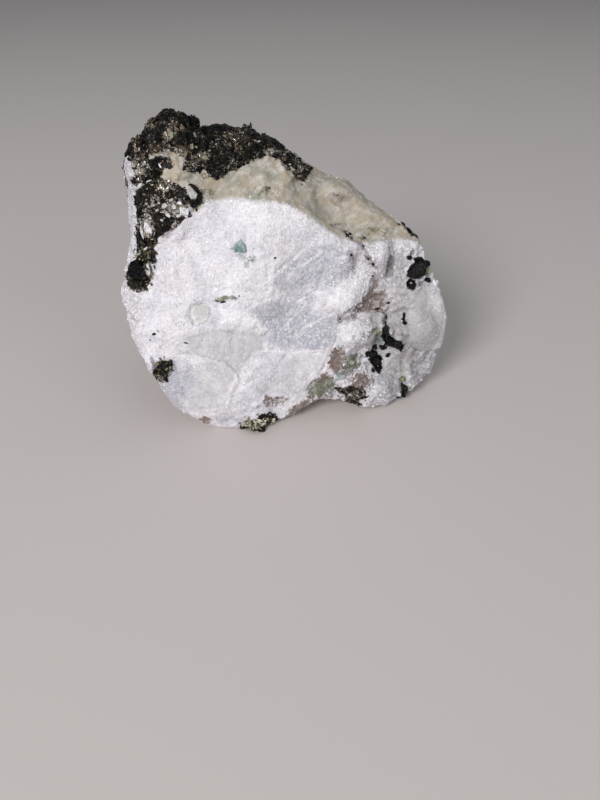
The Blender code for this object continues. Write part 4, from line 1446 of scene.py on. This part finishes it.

# %% [markdown]
# ## Listed crystals
# Black tourmaline and pale, greenish and blue-green grains stand out of the skin one by one. Each row
# below aims at a pixel and gives the crystal's half length and half width as the picture shows them,
# its turn, and how far it stands out. A ray from the camera finds the skin there.

# %% Rows of crystals
BLACK = (   # middle pixel, half length and half width in pixels, turn in degrees, height in millimetres
    ((418, 269), (10.5, 6.5), 35, 0.9), ((411, 274), (4.5, 4), 20, 0.7), ((425, 264), (5, 4.5), 50, 0.9),
    ((409, 257.5), (3.5, 1.3), -8, 0.4), ((416, 259), (3.8, 1.3), -20, 0.4),
    ((421, 260), (2.2, 1.8), 0, 0.5),
    ((428, 280), (3.4, 1.5), 5, 0.4), ((412, 287), (4, 3), 10, 0.5), ((409, 282), (1.2, 3), 0, 0.3),
    ((415, 284), (1.2, 2.5), 20, 0.3), ((423, 274), (3, 2.2), 50, 0.6),
    ((386.5, 331), (3, 6.5), 8, 0.5), ((389, 340), (6.5, 3.6), -42, 0.6),
    ((397, 344), (6, 4.6), -22, 0.8),
    ((401, 348), (2.6, 2.2), 0, 0.6), ((376, 348), (1.7, 1.2), 0, 0.3),
    ((383, 348), (2.6, 1.6), -15, 0.35),
    ((385, 344), (2.4, 1.2), 50, 0.3), ((388, 354.5), (2.8, 1.5), 25, 0.4),
    ((371, 355), (5.5, 2.8), 8, 0.5), ((375, 361), (5, 5), 80, 0.7), ((378, 369), (2.6, 3.4), 0, 0.5),
    ((373, 370), (2, 3), 10, 0.3), ((381, 358), (1.3, 2.6), 20, 0.35), ((368, 353), (1.8, 1), 30, 0.3),
    ((404, 318), (1.0, 3.4), -22, 0.25), ((406, 323), (1.1, 1.6), 20, 0.2),
    ((402, 319), (1.2, 0.7), 30, 0.2),
    ((350.5, 234), (2.6, 1.4), -45, 0.2), ((364, 238), (2.2, 1.2), -10, 0.15),
    ((363, 245), (2.6, 0.7), -40, 0.12),
    ((368, 259), (1.2, 1), 0, 0.15), ((373, 264), (1.4, 1.7), 0, 0.25),
    ((373, 276), (1.6, 0.6), -30, 0.12),
    ((388, 303), (2.2, 1.2), 20, 0.25), ((377, 309), (3, 1.1), 8, 0.2), ((386, 317), (1.2, 2.5), 0, 0.2),
    ((385, 323), (1.0, 2), 0, 0.2), ((404, 395), (3, 4.2), 20, 0.5), ((406, 388), (1.8, 2.6), 0, 0.4),
    ((398, 397), (1.8, 1.6), 0, 0.3), ((343, 392), (3, 1.8), -12, 0.3), ((352, 390), (3, 1.6), 8, 0.3),
    ((361, 392), (3, 1.6), -25, 0.35), ((365, 397), (1.8, 1.8), 0, 0.3), ((353, 401), (3, 2.2), 0, 0.3),
    ((349, 405), (2, 1.6), 0, 0.25), ((359, 404), (1.6, 1.4), 0, 0.2), ((336, 388), (1.4, 1.8), 0, 0.2),
    ((165, 365), (7, 4.4), 32, 0.5), ((157, 372), (4.4, 3.4), 10, 0.45),
    ((165, 378), (2.6, 2), -30, 0.35),
    ((167, 381), (1.4, 1.2), 0, 0.3), ((134, 182), (3, 2), -30, 0.3), ((200, 201), (2.2, 1.6), 0, 0.4),
    ((198, 191), (1.4, 5), 33, 0.4), ((194, 205), (3, 2.6), 0, 0.4), ((152, 257), (2.2, 4.6), 0, 0.4),
    ((275, 258), (1.7, 1), 0, 0.12), ((351, 255), (1.9, 1.5), -30, 0.18),
    ((154, 334), (2.3, 1.4), 15, 0.2),
    ((186, 343), (2.8, 0.8), -6, 0.12), ((150, 340), (0.9, 0.7), 0, 0.1),
    ((158, 331), (0.6, 1.4), 20, 0.08),
    ((223, 302), (3.2, 1.2), 12, 0.15), ((217, 301), (1.2, 1), 0, 0.12),
    ((239, 296), (0.9, 0.8), 30, 0.1),
    ((302, 305), (0.8, 0.6), 0, 0.08), ((340, 319), (0.8, 1.6), 0, 0.12),
    ((194, 300), (1.2, 0.5), -5, 0.08),
    ((403, 224), (3.4, 1.1), -42, 0.3), ((409, 230), (3.6, 1.2), -42, 0.3),
    ((416, 236), (3, 1.1), -40, 0.3),
    ((262, 415), (2, 1.2), 30, 0.25), ((270, 413), (1.6, 1), 0, 0.25), ((275, 414), (1.2, 1), 0, 0.2),
    ((245, 428), (3.4, 2), 15, 0.3), ((269, 188), (2, 0.7), 0, 0.1),
)
ROUND_BLACK = (((136.5, 270), (7.0, 10.5), 8, 1.0),)
PALE = (
    ((191, 193), (4.6, 8.4), 38, 0.5), ((184, 210), (6, 6.4), 0, 0.6), ((148, 228), (4, 7), 20, 0.4),
    ((142, 232), (1.6, 7), 5, 0.35), ((147.5, 270), (2.6, 6.6), 8, 0.4),
    ((165, 155), (5.4, 1.9), -22, 0.4),
    ((152, 158), (4, 1.1), 12, 0.3), ((166.5, 359.5), (4, 1.5), 0, 0.35),
    ((146, 249), (2.8, 1.2), 40, 0.35),
    ((165, 206), (3.6, 2.6), 20, 0.4), ((174, 207), (2.2, 3.2), 20, 0.4),
    ((168, 215), (3.4, 2), -30, 0.35),
    ((157, 210), (2.2, 1.4), 40, 0.3), ((145, 162), (1.6, 1.1), 0, 0.3), ((160, 166), (1, 2.8), 30, 0.3),
    ((149, 181), (3.4, 0.9), 20, 0.25),
    ((344, 386), (3, 1.2), 30, 0.3), ((350, 395), (2, 1), 0, 0.3),
    ((296, 152), (3, 0.9), -35, 0.2), ((171, 200), (2.6, 1.8), 30, 0.35),
    ((180, 203), (2.8, 1.6), -20, 0.35),
    ((391, 333), (1.4, 0.8), 60, 0.6), ((384, 342), (1.6, 0.7), -30, 0.5),
    ((396, 351), (1.6, 0.8), 10, 0.5),
    ((368, 358), (1.3, 0.7), 30, 0.5), ((379, 352), (1.6, 0.9), 0, 0.4),
    ((178, 216), (3.2, 2.0), 30, 0.35), ((186, 216), (2.4, 1.8), -40, 0.3),
    ((162, 220), (2.2, 1.4), 0, 0.3),
    ((190, 209), (2.8, 1.8), 15, 0.35), ((159, 203), (1.6, 1.2), 0, 0.3),
    ((150, 218), (1.8, 1.2), 40, 0.3),
)
GREENISH = (
    ((205, 158), (4.2, 2.6), 0, 0.25), ((170, 133), (3.8, 4.2), 0, 0.25),
    ((196, 147), (1.8, 1.2), 0, 0.3),
    ((428, 272), (3.8, 5.4), -10, 0.45), ((402, 379), (3.4, 3.2), 0, 0.5),
    ((352, 362), (2.6, 3.6), 20, 0.3),
    ((376, 331), (4.6, 2.8), 30, 0.3), ((348, 357), (2, 1.4), 0, 0.2), ((231, 298), (3.8, 1), 6, 0.12),
    ((219, 299), (3.6, 1.6), 12, 0.16), ((204, 176), (2.4, 2), 0, 0.1), ((378, 366), (1.0, 1.2), 0, 0.3),
    ((411, 283), (1.3, 1.1), 0, 0.3),
)
BLUE_GREEN = (
    ((239.5, 248), (6.4, 4.6), 20, 0.28), ((242, 245), (3.6, 5.2), 20, 0.42),
    ((243.5, 249.5), (3, 3.4), 0, 0.34),
)
BLACK_BEHIND = (    # place in millimetres, half length and half width, height
    ((7.5, 22, 33), (2.4, 1.8), 0.9), ((-18, 18, 44), (1.9, 1.5), 0.8), ((-36, -1, 33), (2.0, 1.7), 0.8),
    ((16, 20, 24), (1.1, 0.8), 0.5), ((4, 24, 28), (0.9, 0.6), 0.4), ((31, 6, 26), (1.4, 1.0), 0.5),
    ((-28, 14, 20), (1.1, 0.8), 0.5), ((26, 14, 16), (0.8, 0.6), 0.3), ((-8, 24, 14), (0.6, 0.4), 0.3),
)
print(len(BLACK) + len(PALE) + len(GREENISH) + len(BLUE_GREEN), "rows of crystals")

# %% [markdown]
# ## Crystals on the skin
# Each crystal stands partly on the skin's own slope and partly towards the camera, so that its shape
# in the picture is nearly the one that its row gives. Its size in space follows from how far away it
# is. Those behind are placed by millimetres instead and simply stand on the skin.

# %% Crystals on the skin
STONE_MIDDLE = np.array([285.0, 290.0])     # pixels
STEP_INWARDS = 0.01


def aimed(pixel):
    """Where a pixel meets the skin. A pixel just off the stone moves in until it does."""
    pixel = np.array(pixel, float)
    place = None
    while place is None:
        place, outward, *_ = skin.ray_cast(Vector(CAMERA_PLACE), sight_line(pixel))
        pixel += STEP_INWARDS * (STONE_MIDDLE - pixel)
    return place, outward


def crystals(name, rows, shapes, behind=()):
    """Crystals laid on the skin where rows of pixels or places say."""
    where, turns, sizes = [], [], []
    for pixel, half, turn, proud in rows:
        place, outward = aimed(pixel)
        z = (outward * 0.6 - sight_line(pixel) * 0.7 + Vector(draw.normal(0, 0.10, 3))).normalized()
        angle = math.radians(turn)
        along = Vector(right * math.cos(angle) + up * math.sin(angle))
        x = (along - z * along.dot(z)).normalized()
        turns.append(np.array([x, z.cross(x), z]).T)
        scale = (place - Vector(CAMERA_PLACE)).dot(Vector(look)) / LENS_PIXELS
        sizes.append([half[0] * scale, half[1] * scale, 2 * proud * MM])
        where.append(place)
    for place, half, proud in behind:
        place, outward, *_ = skin.find_nearest(Vector(place) * MM)
        direction = np.array([outward + Vector(draw.normal(0, 0.2, 3))])
        turns.append(turned_to(direction, draw.uniform(0, 6, 1))[0])
        sizes.append([half[0] * MM, half[1] * MM, 2 * proud * MM])
        where.append(place)
    count = len(where)
    picks = np.arange(count) % len(shapes)
    return joined_copies(
        name, shapes, picks, np.array(turns), np.array(sizes), np.array(where), draw.uniform(0, 1, count)
    )


black_prisms = crystals("black_tourmaline", BLACK, blocks[:4], BLACK_BEHIND)
black_oval = crystals("black_oval", ROUND_BLACK, blocks[4:])
pale_grains = crystals("pale_grains", PALE, blocks)
green_grains = crystals("green_grains", GREENISH, blocks)
blue_grains = crystals("blue_green_grain", BLUE_GREEN, blocks[:4])
print("the crystals stand on the skin")

# %% [markdown]
# ## The colours of the crystals
# One recipe makes them all, from nearly mirror-black prisms to milky grains. Only the tones, the gloss
# and how rough the faces are change. The black oval is duller than the prisms, because a shiny one
# would mirror the window and look grey.

# %% Their materials
def crystal_look(name, dark, light, rough, relief, rougher, metal, shine):
    """A glassy crystal whose colour wanders between two tones."""
    r = Recipe(name)
    share = (r.cloud(0.8, 4.0, 0.6) + r.zone("tone") * 0.25 - 0.12).step(0.38, 0.68)
    r.set("Base Color", r.blend(share, dark, light))
    r.set("Roughness", rough + r.cloud(0.4) * rougher)
    r.set("Normal", r.bump(r.cloud(0.5, 4.0, 0.65) * relief + r.grains(0.7) * relief * 0.6, 0.8))
    r.set("IOR", 1.5)
    r.set("Specular IOR Level", shine)
    r.set("Metallic", metal)
    return r.material


BLACKEST = (0.002, 0.002, 0.003)
BLACK_GREY = (0.012, 0.012, 0.012)
LOOKS = (   # crystals, name, dark and light tone, roughness, relief, added roughness, metal, shine
    (black_prisms, "glassy_black", BLACKEST, BLACK_GREY, 0.05, 0.6, 0.15, 0.5, 0.35),
    (black_oval, "smooth_black", BLACKEST, BLACKEST, 0.2, 0.06, 0.1, 0.0, 0.06),
    (pale_grains, "pale", (0.46, 0.44, 0.43), (0.85, 0.82, 0.85), 0.25, 0.25, 0.25, 0.0, 0.35),
    (green_grains, "greenish", (0.14, 0.16, 0.09), (0.40, 0.42, 0.30), 0.25, 0.2, 0.25, 0.0, 0.35),
    (blue_grains, "blue_green", (0.12, 0.19, 0.19), (0.30, 0.38, 0.37), 0.20, 0.15, 0.25, 0.0, 0.35),
)
for item, *settings in LOOKS:
    item.data.materials.append(crystal_look(*settings))
print("crystals have their materials")

# %% [markdown]
# ## Brassy nests
# Small nests of brassy flakes shine along the front foot, at the left edge and round the black oval.
# The flakes are larger and brighter than those of the crust, and their brightest tones are painted
# glints. They are scattered round a pixel, and a ray from the camera finds the skin under each.

# %% Brassy flakes
# the brightest tone sets how far up the ramp a nest's flakes reach; high values paint glints
NESTS = (       # pixel, spread in pixels, how many flakes, brightest tone
    ((258, 426), (7, 3), 130, 1.0), ((267, 423), (6, 2), 70, 1.3), ((164, 364), (5, 3), 50, 0.6),
    ((158, 373), (3, 2), 30, 0.7), ((147, 272), (2, 7), 40, 0.8), ((138, 286), (5, 2), 60, 0.4),
    ((145, 255), (5, 4), 50, 0.8), ((130, 281), (2, 3), 20, 0.4), ((352, 402), (5, 4), 40, 0.6),
    ((405, 392), (2, 4), 24, 0.6), ((246, 428), (4, 2), 24, 0.4),
)
BRASS_RADII = (0.25, 0.75)      # millimetres, smallest and largest
BRASS_PROUD = 0.15 * MM

aims, brightest = [], []
for pixel, wide, count, tone in NESTS:
    aims.extend(draw.normal(pixel, wide, (count, 2)))
    brightest.extend([tone] * count)
hits = [skin.ray_cast(Vector(CAMERA_PLACE), sight_line(aim)) for aim in aims]
kept = [number for number, hit in enumerate(hits) if hit[0] is not None]
count = len(kept)
outward = np.array([hits[number][1] for number in kept])
radius = draw.uniform(*BRASS_RADII, count) * MM
brass = joined_copies(
    "brassy_flakes",
    plates,
    draw.integers(len(plates), size=count),
    turned_to(outward + draw.normal(0, 0.5, (count, 3)), draw.uniform(0, math.tau, count)),
    radius[:, None] * np.array([1.0, 1.0, 0.7]),
    np.array([hits[number][0] for number in kept]) + outward * BRASS_PROUD,
    draw.uniform(0, 1, count) * np.array(brightest)[kept],
)
print(count, "brassy flakes")

# %% [markdown]
# ## Brass
# The flakes of the nests have the same recipe as the mica, but their ramp ends in a near-white gold,
# which is a painted glint.

# %% Brassy colour
BRASS_TONES = (
    (0.0, (0.010, 0.009, 0.008)),
    (0.35, (0.06, 0.05, 0.03)),
    (0.65, (0.42, 0.37, 0.23)),
    # near-white gold: a painted glint
    (1.0, (0.97, 0.93, 0.80)),
)
brassy = flake_look("brassy", BRASS_TONES, 0.0, 0.4, 0.22, 0.4, 0.15, 0.08, 0.5)
brass.data.materials.append(brassy.material)
print("the nests are brassy")

# %% [markdown]
# ## Floor
# The floor is plain and pale, so that the stone's shadow and its colours show. It only stages the
# picture and isn't part of the stone.

# %% Floor
FLOOR_SIZE = 6.0        # metres
FLOOR_COLOUR = (0.56, 0.51, 0.49)

floor_mesh = bmesh.new()
bmesh.ops.create_grid(floor_mesh, x_segments=1, y_segments=1, size=FLOOR_SIZE / 2)
floor_data = bpy.data.meshes.new("floor")
floor_mesh.to_mesh(floor_data)
floor_mesh.free()
floor = linked("floor", floor_data)
floor_recipe = Recipe("pale_floor")
floor_recipe.set("Base Color", FLOOR_COLOUR)
floor_recipe.set("Roughness", 0.6)
floor.data.materials.append(floor_recipe.material)
print("a floor of", FLOOR_SIZE, "metres")

# %% [markdown]
# ## Light
# The photograph's light is soft and comes from the front, the left and above, so the white face is
# bright and the top is duller. A large area light does that, with two weaker ones, from the right and
# from overhead, and a pale surround.

# %% Lights
LIT_POINT = Vector((0, 0, 0.03))
LIGHTS = (      # name, place in metres, power, width
    ("window", (-0.44, -0.68, 0.55), 7.5, 0.40),
    ("fill", (0.65, -0.55, 0.40), 1.1, 0.6),
    ("ceiling", (0.3, 0.1, 0.9), 1.1, 0.8),
)
SURROUND = (0.80, 0.85, 0.90, 1.0)
SURROUND_STRENGTH = 0.29

for name, place, power, width in LIGHTS:
    light = bpy.data.lights.new(name, "AREA")
    light.shape = "DISK"
    light.size = width
    light.energy = power
    item = linked(name, light)
    item.location = place
    item.rotation_euler = (Vector(place) - LIT_POINT).to_track_quat("Z", "Y").to_euler()
world = bpy.data.worlds.new("studio")
world.use_nodes = True
backdrop = world.node_tree.nodes["Background"]
backdrop.inputs["Color"].default_value = SURROUND
backdrop.inputs["Strength"].default_value = SURROUND_STRENGTH
bpy.context.scene.world = world
bpy.context.scene.view_settings.view_transform = "Standard"
print("three soft lights and a pale surround")
